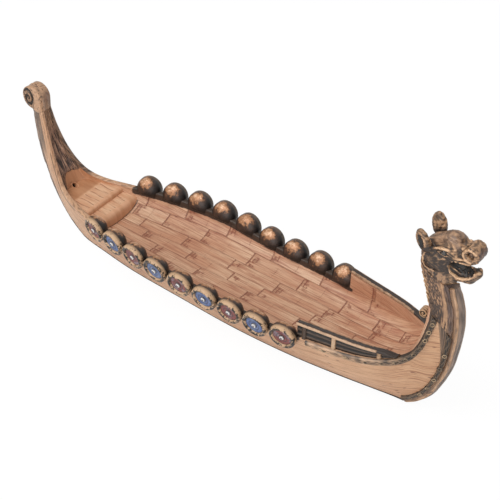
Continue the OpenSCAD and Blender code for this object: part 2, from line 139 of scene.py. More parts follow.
FINE_ROWS = np.linspace(0, ROW_THROAT, 3801)
SIDE_RUN = np.cumsum(np.linalg.norm(np.diff(outside(FINE_ROWS, [0.5], 1)[:, 0], axis=0), axis=1))
SIDE_RUN = np.r_[0, SIDE_RUN]


def mile(rows):
    """Distance along the middle of the boat's side, from the top of the stern post."""
    return np.interp(rows, FINE_ROWS, SIDE_RUN)


def even_rows(a, b, step):
    """Rows from a to b that lie about step apart along the side."""
    low = mile(a)
    high = mile(b)
    count = max(2, round((high - low) / step) + 1)
    return np.interp(np.linspace(low, high, count), SIDE_RUN, FINE_ROWS)


BREAKS = [0, ROW_ARCH, SOLE_ROWS[0], ROW_SHIELDS, ROW_DECK, ROW_BULWARK, SOLE_ROWS[1], ROW_POINT,
          ROW_NECK]
RUNS = [even_rows(a, b, 1.0) for a, b in zip(BREAKS, BREAKS[1:])]
STATIONS = np.unique(np.concatenate(RUNS).round(6))


def stations(a, b):
    """The rows shared by all that meets along the hull, from a to b."""
    return STATIONS[(STATIONS > a - 1e-5) & (STATIONS < b + 1e-5)]


def mesh_of(name, points, faces, **marks):
    """A mesh from millimetre points and arrays of faces, turned outwards, with marks on its points."""
    fans = np.concatenate([f[:, [0, i, i + 1]] for f in faces for i in range(1, f.shape[1] - 1)])
    a, b, c = points[fans[:, 0]], points[fans[:, 1]], points[fans[:, 2]]
    if np.einsum("ij,ij->", a, np.cross(b, c)) < 0:
        faces = [f[:, ::-1] for f in faces]
    sizes = np.concatenate([np.full(len(f), f.shape[1]) for f in faces])
    corners = np.concatenate([f.ravel() for f in faces]).astype(np.int32)
    mesh = bpy.data.meshes.new(name)
    mesh.vertices.add(len(points))
    mesh.vertices.foreach_set("co", (points * MM).astype(np.float32).ravel())
    mesh.loops.add(len(corners))
    mesh.loops.foreach_set("vertex_index", corners)
    mesh.polygons.add(len(sizes))
    mesh.polygons.foreach_set("loop_start", (np.cumsum(sizes) - sizes).astype(np.int32))
    mesh.update(calc_edges=True)
    mesh.polygons.foreach_set("use_smooth", np.ones(len(sizes), bool))
    for key, values in marks.items():
        kind, field = ("FLOAT_VECTOR", "vector") if values.ndim == 2 else ("FLOAT", "value")
        mark = mesh.attributes.new(key, kind, "POINT")
        mark.data.foreach_set(field, values.astype(np.float32).ravel())
    mesh.set_sharp_from_angle(angle=SMOOTH_ANGLE)
    return mesh


def slab(name, top, bottom, **marks):
    """A closed solid between two equal grids. A mark has one value for each point of the top grid."""
    n, m = top.shape[:2]
    index = np.arange(n * m).reshape(n, m)
    skin = np.stack([index[:-1, :-1], index[:-1, 1:], index[1:, 1:], index[1:, :-1]], -1).reshape(-1, 4)
    ring = np.r_[index[0, :-1], index[:-1, -1], index[-1, :0:-1], index[:0:-1, 0]]
    after = np.roll(ring, -1)
    wall = np.stack([after, ring, ring + n * m, after + n * m], -1)
    points = np.concatenate([top.reshape(-1, 3), bottom.reshape(-1, 3)])
    marks["shown"] = np.zeros((n, m))
    marks["shown"][1:-1, 1:-1] = 1
    twice = {key: np.concatenate([v.reshape(n * m, -1)] * 2).squeeze(-1 if v.ndim == 2 else ())
             for key, v in marks.items()}
    twice["shown"][n * m:] = 0
    return mesh_of(name, points, [np.concatenate([skin, skin[:, ::-1] + n * m, wall])], **twice)


def run_of(grid, axis):
    """Distance along the grid's lines, in the direction of axis."""
    steps = np.linalg.norm(np.diff(grid, axis=axis), axis=-1)
    return np.insert(np.cumsum(steps, axis=axis), 0, 0, axis=axis)


def combed(grid, rows, shift=0.0, middle=None):
    """The grain mark: distance along the boat and round the girth, and a shift for each piece."""
    along = np.repeat(mile(rows)[:, None], grid.shape[1], 1)
    around = run_of(grid, 1)
    around = around - around[:, [grid.shape[1] // 2 if middle is None else middle]]
    return np.stack([along, around, np.full_like(along, shift)], -1)


def fade(x, low, high):
    """0 below low and 1 above high, smooth between."""
    t = np.clip((x - low) / (high - low), 0, 1)
    return t * t * (3 - 2 * t)


def post_age(rows):
    """How far the old dark colour of the stern post reaches: 1 at its top, 0 on the hull."""
    return (1 - fade(rows, *AGED_ROWS))[:, None]


def levelled(grain, grid, rows, hand):
    """Turns the grain level towards the bow, where the side sweeps up into the neck."""
    share = fade(rows, *SWEEP_ROWS)[:, None]
    start = mile(SWEEP_ROWS[0]) - ribs_at(SWEEP_ROWS[:1])[0, 3]
    grain[..., 0] += share * (grid[..., 0] + start - grain[..., 0])
    grain[..., 1] += share * (hand * grid[..., 2] - grain[..., 1])
    return grain


def paint(code):
    """A linear colour from an ordinary six-digit colour code."""
    parts = [int(code[i:i + 2], 16) / 255 for i in (1, 3, 5)]
    return tuple(c / 12.92 if c <= 0.04045 else ((c + 0.055) / 1.055) ** 2.4 for c in parts) + (1,)


class Wire:
    """One output of a node tree. Arithmetic on wires adds Math nodes."""

    def __init__(self, tree, socket=None):
        self.tree = tree
        self.socket = socket

    def add(self, kind, sockets=None, out=0, **settings):
        """A node of any kind: its settings, then values or wires for its sockets. out is its output."""
        node = self.tree.nodes.new(kind)
        for key, value in settings.items():
            setattr(node, key, value)
        for key, value in (sockets or {}).items():
            if isinstance(value, Wire):
                self.tree.links.new(value.socket, node.inputs[key])
            else:
                node.inputs[key].default_value = value
        return Wire(self.tree, node.outputs[out])

    def math(self, operation, *others):
        """A Math node on this wire and others."""
        return self.add("ShaderNodeMath", dict(enumerate((self, *others))), operation=operation)

    def __add__(self, other):
        return self.math("ADD", other)

    __radd__ = __add__

    def __sub__(self, other):
        return self.math("SUBTRACT", other)

    def __rsub__(self, other):
        return self.add("ShaderNodeMath", {0: other, 1: self}, operation="SUBTRACT")

    def __mul__(self, other):
        return self.math("MULTIPLY", other)

    __rmul__ = __mul__

    def __truediv__(self, other):
        return self.math("DIVIDE", other)

    def __rtruediv__(self, other):
        return self.add("ShaderNodeMath", {0: other, 1: self}, operation="DIVIDE")

    def __abs__(self):
        return self.math("ABSOLUTE")

    def step(self, low, high):
        """0 at low and 1 at high, smooth between. Low may be the larger."""
        sockets = {0: self, 1: low, 2: high}
        return self.add("ShaderNodeMapRange", sockets, interpolation_type="SMOOTHSTEP")

    def mix(self, first, second):
        """Colours mixed by this wire: first at 0, second at 1. Each is a wire or a colour code."""
        ends = [paint(end) if isinstance(end, str) else end for end in (first, second)]
        return self.add("ShaderNodeMix", {0: self, 6: ends[0], 7: ends[1]}, out=2, data_type="RGBA")

    def noise(self, place, detail=3.0, rough=0.5):
        """Cloudy noise, one wave for each unit of place."""
        sockets = {"Vector": place, "Scale": 1.0, "Detail": detail, "Roughness": rough}
        return self.add("ShaderNodeTexNoise", sockets)

    def grit(self, fine, detail=3.0, rough=0.5):
        """Noise that is alike in all directions, with fine waves in a millimetre."""
        return self.noise(self.object_mm(fine, fine, fine), detail, rough)

    def mark(self, name):
        """A number that the mesh keeps on its points."""
        return self.add("ShaderNodeAttribute", out=2, attribute_name=name)

    def marks(self, name):
        """Three numbers that the mesh keeps on its points."""
        return self.add("ShaderNodeAttribute", out=1, attribute_name=name).split()

    def kept(self, name, kind="FLOAT"):
        """A mark, read in a Geometry Nodes tree."""
        return self.add("GeometryNodeInputNamedAttribute", {"Name": name}, data_type=kind)

    def split(self):
        """The three numbers of a place."""
        return [self.add("ShaderNodeSeparateXYZ", {0: self}, out=i) for i in range(3)]

    def spot(self, x, y, z):
        """A place from three numbers."""
        return self.add("ShaderNodeCombineXYZ", {0: x, 1: y, 2: z})

    def object_mm(self, x, y, z):
        """A place on the piece in millimetres, scaled along the three axes."""
        place = self.add("ShaderNodeTexCoord", out=3)
        return self.add("ShaderNodeMapping", {"Vector": place, "Scale": (x / MM, y / MM, z / MM)})


def finish_of(name, build, roughness=0.45, coat=0.1, relief=0.1):
    """A material. build returns its varying sockets; Height is bump, relief millimetres deep."""
    material = bpy.data.materials.new(name)
    material.use_nodes = True
    tree = material.node_tree
    shader = tree.nodes["Principled BSDF"]
    shader.inputs["Roughness"].default_value = roughness
    shader.inputs["Coat Weight"].default_value = coat
    shader.inputs["Coat Roughness"].default_value = 0.3
    wire = Wire(tree)
    for key, value in build(wire).items():
        if key == "Height":
            key = "Normal"
            sockets = {"Height": value, "Distance": relief * MM, "Strength": 1.0}
            value = wire.add("ShaderNodeBump", sockets)
        tree.links.new(value.socket, shader.inputs[key])
    return material


def tree_of(name, **sizes):
    """A Geometry Nodes tree with named inputs: a number each, or None for an object, and a finish."""
    tree = bpy.data.node_groups.new(name, "GeometryNodeTree")
    tree.interface.new_socket("Geometry", in_out="INPUT", socket_type="NodeSocketGeometry")
    tree.interface.new_socket("Geometry", in_out="OUTPUT", socket_type="NodeSocketGeometry")
    tree.interface.new_socket("Finish", in_out="INPUT", socket_type="NodeSocketMaterial")
    kinds = {float: "NodeSocketFloat", type(None): "NodeSocketObject"}
    for key, value in sizes.items():
        socket = tree.interface.new_socket(key, in_out="INPUT", socket_type=kinds[type(value)])
        if value is not None:
            socket.default_value = value
    source = tree.nodes.new("NodeGroupInput")
    wires = {socket.name: Wire(tree, socket) for socket in source.outputs if socket.name}
    return tree, wires


def deliver(wires, geometry):
    """Ends a tree: real copies, the finish, and the output."""
    real = geometry.add("GeometryNodeRealizeInstances", {0: geometry})
    done = real.add("GeometryNodeSetMaterial", {"Geometry": real, "Material": wires["Finish"]})
    real.tree.links.new(done.socket, real.tree.nodes.new("NodeGroupOutput").inputs[0])


def held(name, mesh):
    """An object in the scene that holds a mesh."""
    holder = bpy.data.objects.new(name, mesh)
    bpy.context.scene.collection.objects.link(holder)
    return holder


def finished(holder, name):
    """The plain mesh that an object's modifiers make. The object is thrown away."""
    depsgraph = bpy.context.evaluated_depsgraph_get()
    mesh = bpy.data.meshes.new_from_object(holder.evaluated_get(depsgraph), depsgraph=depsgraph)
    mesh.name = name
    bpy.data.objects.remove(holder)
    return mesh


def grow(mesh, tree, **inputs):
    """Runs a Geometry Nodes tree on a mesh and returns the result as a plain mesh."""
    holder = held(mesh.name, mesh)
    modifier = holder.modifiers.new("grow", "NODES")
    modifier.node_group = tree
    for socket in tree.interface.items_tree:
        if socket.in_out == "INPUT" and socket.name in inputs:
            modifier[socket.identifier] = inputs[socket.name]
    return finished(holder, mesh.name)


def pressed(skin, geometry, amount):
    """Moves a geometry's points along the skin's normals by amount."""
    normal = skin.add("GeometryNodeInputNormal")
    move = skin.add("ShaderNodeVectorMath", {0: normal, "Scale": amount}, operation="SCALE")
    return skin.add("GeometryNodeSetPosition", {"Geometry": geometry, "Offset": move})


def fit(mesh, slot, *nodes, finish=None):
    """Puts a finished mesh into the boat, in place of these CAD nodes."""
    piece = held(mesh.name, mesh)
    if finish:
        mesh.materials.clear()
        mesh.materials.append(finish)
    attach(piece, "root")
    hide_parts(*nodes)


def planking_tree():
    """Presses seams, butt joints and combed grain into a skin, along its normals."""
    tree, w = tree_of("planking", **{"Seam Width": 0.32, "Seam Depth": 0.22, "Joint Depth": 0.2,
                                     "Grain Depth": 0.12, "Grain Length": 16.0, "Grain Width": 1.1})
    skin = w["Geometry"]
    to_joint, _, to_seam = skin.kept("plank", "FLOAT_VECTOR").split()
    along, around, shift = skin.kept("grain", "FLOAT_VECTOR").split()
    seam = (to_seam / w["Seam Width"]).step(1.6, 0.2)
    joint = abs(to_joint).step(0.9, 0.2)
    place = skin.spot(along / w["Grain Length"] + shift * 31, around / w["Grain Width"], shift * 7)
    grain = skin.noise(place, 3.0, 0.6) - 0.5
    sink = grain * w["Grain Depth"] - seam * w["Seam Depth"] - joint * w["Joint Depth"]
    deliver(w, pressed(skin, skin, sink * skin.kept("shown") * MM))
    return tree


def tan_resin(light, mid, dark, smooth=0.0):
    """Tan resin, combed lengthwise, with a thin brown wash left in the combing. smooth takes it off."""
    def build(w):
        along, around, shift = w.marks("grain")
        age = w.mark("age")
        broad = w.noise(w.spot(along * 0.025 + shift, around * 0.18, shift))
        comb = w.noise(w.spot(along * 0.06 + shift, around * 1.5, shift), 4.0, 0.6)
        fine = w.noise(w.spot(along * 0.15, around * 4.2, shift), 2.0)
        knot = w.noise(w.spot(along * 0.21 + 9, around * 0.5, shift), 1.0).step(0.69, 0.76)
        streak = comb.step(0.5, 0.64) * broad.step(0.3, 0.55)
        colour = broad.step(0.35, 0.66).mix(light, mid)
        colour = (streak * (0.75 - smooth * 0.6)).mix(colour, dark)
        colour = (fine.step(0.5, 0.66) * (0.45 - smooth * 0.4)).mix(colour, dark)
        colour = (knot * (0.8 - smooth * 0.8)).mix(colour, "#6b3524")
        worn = (comb * 0.6 + fine * 0.4).step(0.38, 0.62).mix("#43362e", "#94765e")
        colour = age.step(0.1, 0.9).mix(colour, worn)
        return {"Base Color": colour, "Roughness": 0.4 + comb * 0.2,
                "Height": comb * 0.7 + fine * 0.4 - knot * 0.4}
    return build


PLANKING = planking_tree()
hull_build = tan_resin("#dbb08a", "#cd9d76", "#8e5639")
HULL_TAN = finish_of("hull tan", hull_build, coat=0.12, relief=0.16)
HALF_GIRTH = 50
girth = np.linspace(0, RAIL_FROM, HALF_GIRTH)
side_t = np.r_[girth[::-1], 0, girth]
side_s = np.r_[-np.ones(HALF_GIRTH), 0, np.ones(HALF_GIRTH)]
rows = stations(0, ROW_NECK)
skin = outside(rows, side_t, side_s)
lining_p = np.linspace(0.01, LINING_TO, HALF_GIRTH)
lining_p = np.r_[np.linspace(-LINING_TO, -0.01, HALF_GIRTH), 0, lining_p]
grain = combed(skin, rows, 3.0)
wedge = 3.6 + 9 * fade(rows, 14.9, ROW_NECK)[:, None] - np.abs(grain[..., 1])
aged = np.maximum(post_age(rows) * fade(side_t, 0.68, 0.52), fade(wedge, -0.5, 0.5))
level_grain = levelled(grain.copy(), skin, rows, side_s)
grain = np.where(aged[..., None] > 0.5, grain, level_grain)
hull = slab("hull", skin, under(rows, lining_p), grain=grain, plank=np.full(skin.shape, FAR), age=aged)

# ---- Socket for the stick --------------------------------------------------------------------
# A short round ring of the same resin at the stern, drilled 8 mm deep for the stick's core and
# leaning towards the bow. The hole is drilled through the hull and the niche behind it.
HOLE = np.array([-94.7, 0, 26.9])
LEAN = math.radians(42)
BORE = 1.1
DEPTH = 8.0
RING = 1.8
ROUND = 48
BORE_AXES = np.array([[math.sin(LEAN), 0, -math.cos(LEAN)],
                      [0, 1, 0],
                      [math.cos(LEAN), 0, math.sin(LEAN)]])


def turned(name, rings, **marks):
    """A closed solid from rings of points, each end closed to its own middle."""
    n, m = rings.shape[:2]
    index = np.arange(n * m).reshape(n, m)
    after = np.roll(index, -1, 1)
    quads = np.stack([index[:-1], after[:-1], after[1:], index[1:]], -1).reshape(-1, 4)
    first = np.stack([np.full(m, n * m), after[0], index[0]], -1)
    last = np.stack([np.full(m, n * m + 1), index[-1], after[-1]], -1)
    points = np.concatenate([rings.reshape(-1, 3), rings[[0, -1]].mean(1)])
    kept = {key: np.concatenate([v.reshape(n * m, *v.shape[2:]), v[[0, -1]].mean(1)])
            for key, v in marks.items()}
    return mesh_of(name, points, [quads, np.concatenate([first, last])], **kept)


def lathe(profile, sides):
    """Rings round +Z from a profile of radius and height."""
    angle = np.linspace(0, 2 * np.pi, sides, endpoint=False)
    profile = np.asarray(profile, float)
    ring = np.stack([np.cos(angle), np.sin(angle)], -1)
    flat = profile[:, None, :1] * ring[None]
    return np.concatenate([flat, np.repeat(profile[:, None, 1:], sides, 1)], -1)


def arc(cx, cy, r, a, b, n=8):
    """Points on part of a circle, from angle a to b in degrees."""
    t = np.radians(np.linspace(a, b, n))
    return np.stack([cx + r * np.cos(t), cy + r * np.sin(t)], -1)


def drilled(mesh, radius, depth, beyond):
    """The mesh with the stick's hole cut out of it."""
    rings = lathe([[0.02, -depth], [radius, -depth], [radius, beyond], [0.02, beyond]], ROUND)
    tool = held("drill", turned("drill", HOLE + rings @ BORE_AXES))
    holder = held(mesh.name, mesh)
    cut = holder.modifiers.new("drill", "BOOLEAN")
    cut.object = tool
    cut.solver = "EXACT"
    result = finished(holder, mesh.name)
    bpy.data.objects.remove(tool)
    return result


hull = grow(hull, PLANKING, **{"Grain Depth": 0.2, "Grain Width": 1.7, "Finish": HULL_TAN})
fit(drilled(hull, RING - 0.25, DEPTH + 0.4, 4), "tan_resin", "hull_shell")

SOCKET_TAN = finish_of("socket tan", tan_resin("#c48e66", "#b37c57", "#7a4028", 0.8), relief=0.05)
outer_wall = [[0.02, -DEPTH - 0.9], [RING, -DEPTH - 0.9], [RING, -0.5]]
mouth = np.concatenate([arc(RING - 0.35, -0.45, 0.35, 0, 90), arc(BORE + 0.3, -0.4, 0.3, 90, 180)])
wall = np.concatenate([outer_wall, mouth, [[BORE, -2], [BORE, -DEPTH], [0.02, -DEPTH]]])
rings = lathe(wall, ROUND)
bored = np.r_[np.zeros(len(outer_wall) + len(mouth)), 0.85, 0.85, 0.85]
age = np.repeat(bored[:, None], ROUND, 1)
socket = turned("stick_socket", HOLE + rings @ BORE_AXES, age=age, grain=rings)
fit(socket, "tan_resin", "stick_socket", finish=SOCKET_TAN)

# ---- Sole ------------------------------------------------------------------------------------
# The flat foot that the boat stands on, painted dark brown. It is a plate under the hull that
# narrows to both ends, with its lower edge rounded off.
def sole_build(w):
    """Dark brown, scuffed a little lighter along its length."""
    scuff = w.noise(w.object_mm(0.2, 0.9, 0.9), 4.0, 0.6)
    return {"Base Color": scuff.step(0.45, 0.7).mix("#241a15", "#4d3a2e"),
            "Roughness": 0.5 + scuff * 0.3, "Height": scuff}


rows = stations(*SOLE_ROWS)
across = np.linspace(-1, 1, 25)
half = ribs_at(rows)[:, [2]]
along = np.repeat(ribs_at(rows)[:, [0]], len(across), 1)
sole_top = np.stack([along, across * (half + 0.15), np.full(along.shape, SOLE)], -1)
sole_low = sole_top * [1, 1, 0]
sole_low[..., 2] = 0.55 * np.abs(across) ** 9
sole_low[..., 1] = across * half * 0.985
SOLE_BROWN = finish_of("sole brown", sole_build, coat=0.0, relief=0.08)
fit(slab("sole", sole_top, sole_low), "sole_paint", "sole", finish=SOLE_BROWN)

# ---- Deck ------------------------------------------------------------------------------------
# The planked inside of the boat: seven strakes of short planks with butt joints, carved into the
# lining and washed with red-brown paint. The wash stays in the seams, the joints and the grain.
SEAMS = np.array([-0.57, -0.25, -0.06, 0.06, 0.25, 0.57])
JOINTS = [[-58, -33, -8, 17, 45, 70],
          [-50, -25, 1, 27, 52, 74, 90],
          [-38.7, -12.1, 15, 44, 66, 84],
          [-49.3, -22.3, 2.5, 19.8, 48.5, 70, 87],
          [-55.7, -30.2, -2.4, 23.7, 51, 75.9],
          [-64, -46.6, -24, 3.3, 32, 55.9, 74.8, 89],
          [-60.5, -38.7, -14.5, 12, 39.9, 67.6]]


def planks(grid, rows, p):
    """The grain and plank marks of a planked skin. plank is distance past the nearest joint,
    distance off the plank's own middle, and distance to the nearest seam."""
    around = run_of(grid, 1)
    around = around - around[:, [int(np.abs(p).argmin())]]
    at = np.interp(SEAMS, p, np.arange(len(p)))
    low = np.clip(at.astype(int), 0, len(p) - 2)
    edges = around[:, low] + (around[:, low + 1] - around[:, low]) * (at - low)
    strake = np.searchsorted(SEAMS, p)
    to_seam = np.abs(around[:, :, None] - edges[:, None, :]).min(-1)
    if np.abs(p).min() > SEAMS[-1]:
        to_seam[:] = FAR
    bounds = np.concatenate([edges[:, :1] - 8, edges, edges[:, -1:] + 8], 1)
    across = around - (bounds[:, strake] + bounds[:, strake + 1]) / 2
    past = np.zeros(around.shape)
    shift = np.zeros(around.shape)
    for k, places in enumerate(JOINTS):
        own = np.flatnonzero(strake == k)
        gap = grid[:, own, 0][..., None] - np.array(places)
        nearest = np.abs(gap).argmin(-1)[..., None]
        past[:, own] = np.take_along_axis(gap, nearest, -1)[..., 0].clip(-FAR, FAR)
        shift[:, own] = np.modf(0.618 * (5 * k + (gap > 0).sum(-1)))[0]
    along = np.repeat(mile(rows)[:, None], grid.shape[1], 1)
    return {"grain": np.stack([along, around, shift], -1),
            "plank": np.stack([past, across, np.minimum(to_seam, FAR)], -1)}


def deck_build(w):
    """Tan planks of different tints, with red-brown wash in seams, joints and grain."""
    along, around, shift = w.marks("grain")
    past, off, to_seam = w.marks("plank")
    broad = w.noise(w.spot(along * 0.035 + shift * 19, around * 0.2, shift * 5))
    comb = w.noise(w.spot(along * 0.05 + shift * 31, around * 1.7, shift * 7), 4.0, 0.62)
    fine = w.noise(w.spot(along * 0.13 + shift * 3, around * 4.5, shift), 2.0)
    patch = w.noise(w.spot(past * 0.25, off * 0.3 + shift * 9, shift * 13), 2.0)
    colour = broad.step(0.34, 0.66).mix("#e2ba98", "#cc9877")
    colour = (shift.step(0.35, 1.0) * 0.3).mix(colour, "#bd8262")
    colour = (comb.step(0.5, 0.6) * 0.65).mix(colour, "#a6694f")
    colour = (fine.step(0.5, 0.62) * 0.45).mix(colour, "#9a5a42")
    seam = to_seam.step(0.5, 0.1) * comb.step(0.38, 0.56)
    joint = abs(past + (fine - 0.5) * 1.0).step(0.5, 0.15) * patch.step(0.36, 0.46)
    first_cut = abs(past - 1.3 - comb * 0.8).step(0.36, 0.1)
    second_cut = abs(past - 2.9 - fine).step(0.3, 0.1)
    strokes = first_cut.math("MAXIMUM", second_cut) * patch.step(0.5, 0.58)
    near = past.step(-0.6, 0.2) * past.step(7.0, 1.5) * patch.step(0.47, 0.6)
    strands = near * fine.step(0.45, 0.54)
    colour = (near * 0.4).mix(colour, "#b06d50")
    wash = (seam * 0.7).math("MAXIMUM", joint * 0.9).math("MAXIMUM", strokes * 0.9)
    wash = wash.math("MAXIMUM", strands * 0.75)
    colour = (wash * 0.9).mix(colour, "#7d3f2b")
    return {"Base Color": colour, "Roughness": 0.42 + comb * 0.2,
            "Height": comb * 0.5 + fine * 0.3 - wash * 0.6}


DECK_TAN = finish_of("deck planks", deck_build, coat=0.1, relief=0.16)
rows = even_rows(ROW_DECK, ROW_NECK, 0.62)
deck_p = np.linspace(-LINING_TO, LINING_TO, 107)
skin = inside(rows, deck_p)
deck = slab("deck", skin, under(rows, deck_p), **planks(skin, rows, deck_p))
seams = {"Seam Width": 0.5, "Seam Depth": 0.14, "Joint Depth": 0.16}
fit(grow(deck, PLANKING, Finish=DECK_TAN, **seams), "plank_resin", "deck_lining")

# ---- Niche and platforms ---------------------------------------------------------------------
# Behind the hole the lining is left smooth, as an arched niche. Two level platforms step down
# from it to the deck, with plank lines on their tops and smooth rounded risers.
def niche_build(w):
    """Smooth orange-tan inside the arch, streaked old bronze outside it, and a pale line between."""
    out = tan_resin("#c48e68", "#b27a55", "#8c5437", 0.9)(w)
    along, around, _ = w.marks("grain")
    streak = w.noise(w.spot(along * 0.16, around * 0.9, 2.0), 4.0, 0.6)
    old = streak.step(0.36, 0.62).mix("#33271f", "#8d6d57")
    edge = w.mark("arch") + (streak - 0.5) * 0.25
    colour = edge.step(0.4, 0.6).mix(old, out["Base Color"])
    out["Base Color"] = (abs(edge - 0.62).step(0.16, 0.06) * 0.7).mix(colour, "#c9a184")
    streaks = streak * edge.step(0.7, 0.3) * 2.5
    out["Height"] = out["Height"] * 0.3 + streaks + edge.step(0.75, 0.5) * 1.5
    return out


NICHE_TAN = finish_of("niche tan", niche_build, relief=0.2)
rows = stations(ROW_ARCH, ROW_DECK)
niche_p = np.linspace(-LINING_TO, LINING_TO, 61)
skin = inside(rows, niche_p)
tall = np.clip(1 - ((4.5 - rows) / 1.35) ** 2, 0, 1) ** 0.4
wide = 0.34 + 0.3 * fade(niche_p, -0.2, 0.2)
share = 0.5 + 0.5 * fade(rows, 4.2, 5.2)[:, None] * (niche_p < 0) + 0.5 * (niche_p >= 0)
crown = tall[:, None] * wide * 2 * share
arch = np.clip(0.5 + (crown - np.abs(niche_p)[None]) * 7, 0, 1)
niche = slab("niche", skin, under(rows, niche_p), grain=combed(skin, rows, 5.0), arch=arch,
             plank=np.full(skin.shape, FAR))
niche = grow(niche, PLANKING, **{"Grain Depth": 0.06, "Grain Width": 3.0, "Finish": NICHE_TAN})
fit(drilled(niche, RING - 0.2, DEPTH, 4), "tan_resin", "stern_lining")


TREAD_ROUND = 0.15
TREAD_POINTS = 61
TREAD_LINES = np.array([-9, -5.6, -2.1, 1.3, 4.9, 8.4])


def row_at(x):
    """The row whose rim lies at x."""
    fine = np.linspace(0, ROW_THROAT, 4000)
    return float(np.interp(x, ribs_at(fine)[:, 3], fine))


def platform(name, u0, u1, top, foot, shift):
    """A level tread that rounds down over its riser at u1, and rests on the lining."""
    rows = np.r_[even_rows(u0, u1 - 0.17, 0.7), np.linspace(u1 - TREAD_ROUND, u1, 20)]
    d = np.maximum(0, 1 - (u1 - rows) / TREAD_ROUND)
    height = (top - (top - foot) * (1 - np.maximum(1 - d ** 2.6, 0) ** (1 / 2.6)))[:, None]
    r = ribs_at(rows)
    q = np.clip((height - r[:, [8]]) / (r[:, [6]] - r[:, [8]]), 0.02, 0.98)
    reach = np.arccos((1 - q) ** (1 / FLOOR_POWER)) / (np.pi / 2)
    share = np.linspace(-1, 1, TREAD_POINTS)
    floor = np.stack([inside([u], share * k)[0] for u, k in zip(rows, reach[:, 0])])
    lift = height - floor[..., 2]
    edge = floor[:, -1]
    keel = floor[:, TREAD_POINTS // 2]
    lean = (edge[:, 0] - keel[:, 0]) / np.maximum(edge[:, 2] - keel[:, 2], 0.5)
    tread = np.stack([floor[..., 0] + lift * lean[:, None], floor[..., 1],
                      np.repeat(height, TREAD_POINTS, 1)], -1)
    waver = 0.25 * np.sin(tread[..., :1] * 0.6 + TREAD_LINES)
    to_line = np.abs(tread[..., 1:2] - TREAD_LINES - waver).min(-1)
    flat = fade(u1 - TREAD_ROUND - rows, -0.02, 0.04) * fade(rows, 4.6, 4.8)
    flat = np.repeat(flat[:, None], TREAD_POINTS, 1)
    plank = np.stack([np.full(flat.shape, FAR), tread[..., 1], np.where(flat > 0.5, to_line, FAR)], -1)
    rear = np.repeat(fade(rows, 4.8, 4.6)[:, None], TREAD_POINTS, 1)
    return slab(name, tread, floor - [0, 0, 0.1], grain=combed(tread, rows, shift), plank=plank,
                tread=flat, rear=rear)


def tread_build(w):
    """Smooth tan with a lined top, and a plain darker tan at the rear, round the hole."""
    along, around, shift = w.marks("grain")
    _, _, to_line = w.marks("plank")
    flat = w.mark("tread")
    broad = w.noise(w.spot(along * 0.06, around * 0.3, shift))
    comb = w.noise(w.spot(along * 0.07, around * 1.6, shift), 4.0, 0.6)
    smooth = broad.step(0.35, 0.65).mix("#dda883", "#cd966f")
    smooth = w.mark("rear").mix(smooth, broad.step(0.35, 0.65).mix("#c08a64", "#ae7751"))
    lined = broad.step(0.35, 0.65).mix("#e3b792", "#d4a07b")
    lined = (comb.step(0.5, 0.68) * 0.6).mix(lined, "#b27555")
    line = to_line.step(0.5, 0.08) * comb.step(0.3, 0.5)
    lined = (line * 0.75).mix(lined, "#8f5138")
    colour = flat.mix(smooth, lined)
    return {"Base Color": colour, "Roughness": 0.42 + comb * 0.12, "Height": comb * flat}


TREAD_TAN = finish_of("platform tan", tread_build, coat=0.12, relief=0.12)
STEPS = [("upper_platform", 3.8, row_at(-74.6), 26.6, 24.2, "stern_platform"),
         ("lower_platform", row_at(-74.6), row_at(-65.8), 24.2, 19.6, "stern_step")]
for number, (name, u0, u1, top, foot, node) in enumerate(STEPS):
    tread = platform(name, u0, u1, top, foot, 11.0 + 7 * number)
    tread = grow(tread, PLANKING, **{"Grain Depth": 0.1, "Seam Depth": 0.16, "Finish": TREAD_TAN})
    if node == "stern_platform":
        tread = drilled(tread, RING - 0.1, DEPTH, 4)
    fit(tread, "tan_resin", node)

# ---- Rims, gunwales and bow strakes ----------------------------------------------------------
# The top strip of the wall on each side: combed outside, planked inside and rounded over on top.
# It is cast with the hull, in three lengths: stern post, shield row and bow.
OUT_FROM = 19  # points of the outer skin that lie below the strip
IN_FROM = 23  # points of the inner skin that lie below it
OVER_TOP = 11  # points over the top of the wall


def capped(name, skin, **marks):
    """A solid under a strip whose two long edges are joined by a flat, slightly inset underside."""
    share = np.linspace(0.1, 0.9, skin.shape[1])[None, :, None]
    return slab(name, skin, skin[:, :1] + (skin[:, -1:] - skin[:, :1]) * share, **marks)


def rounded(outer, inner, peak):
    """Points over the top of a wall, from outer to inner, through peak."""
    angle = np.linspace(0, np.pi, OVER_TOP + 2)[1:-1]
    across = np.sign(np.cos(angle)) * np.abs(np.cos(angle)) ** 0.6
    up = np.sin(angle) ** 0.6
    middle = (outer + inner) / 2
    return (middle[:, None] + (outer - inner)[:, None] / 2 * across[None, :, None]
            + (peak - middle)[:, None] * up[None, :, None])


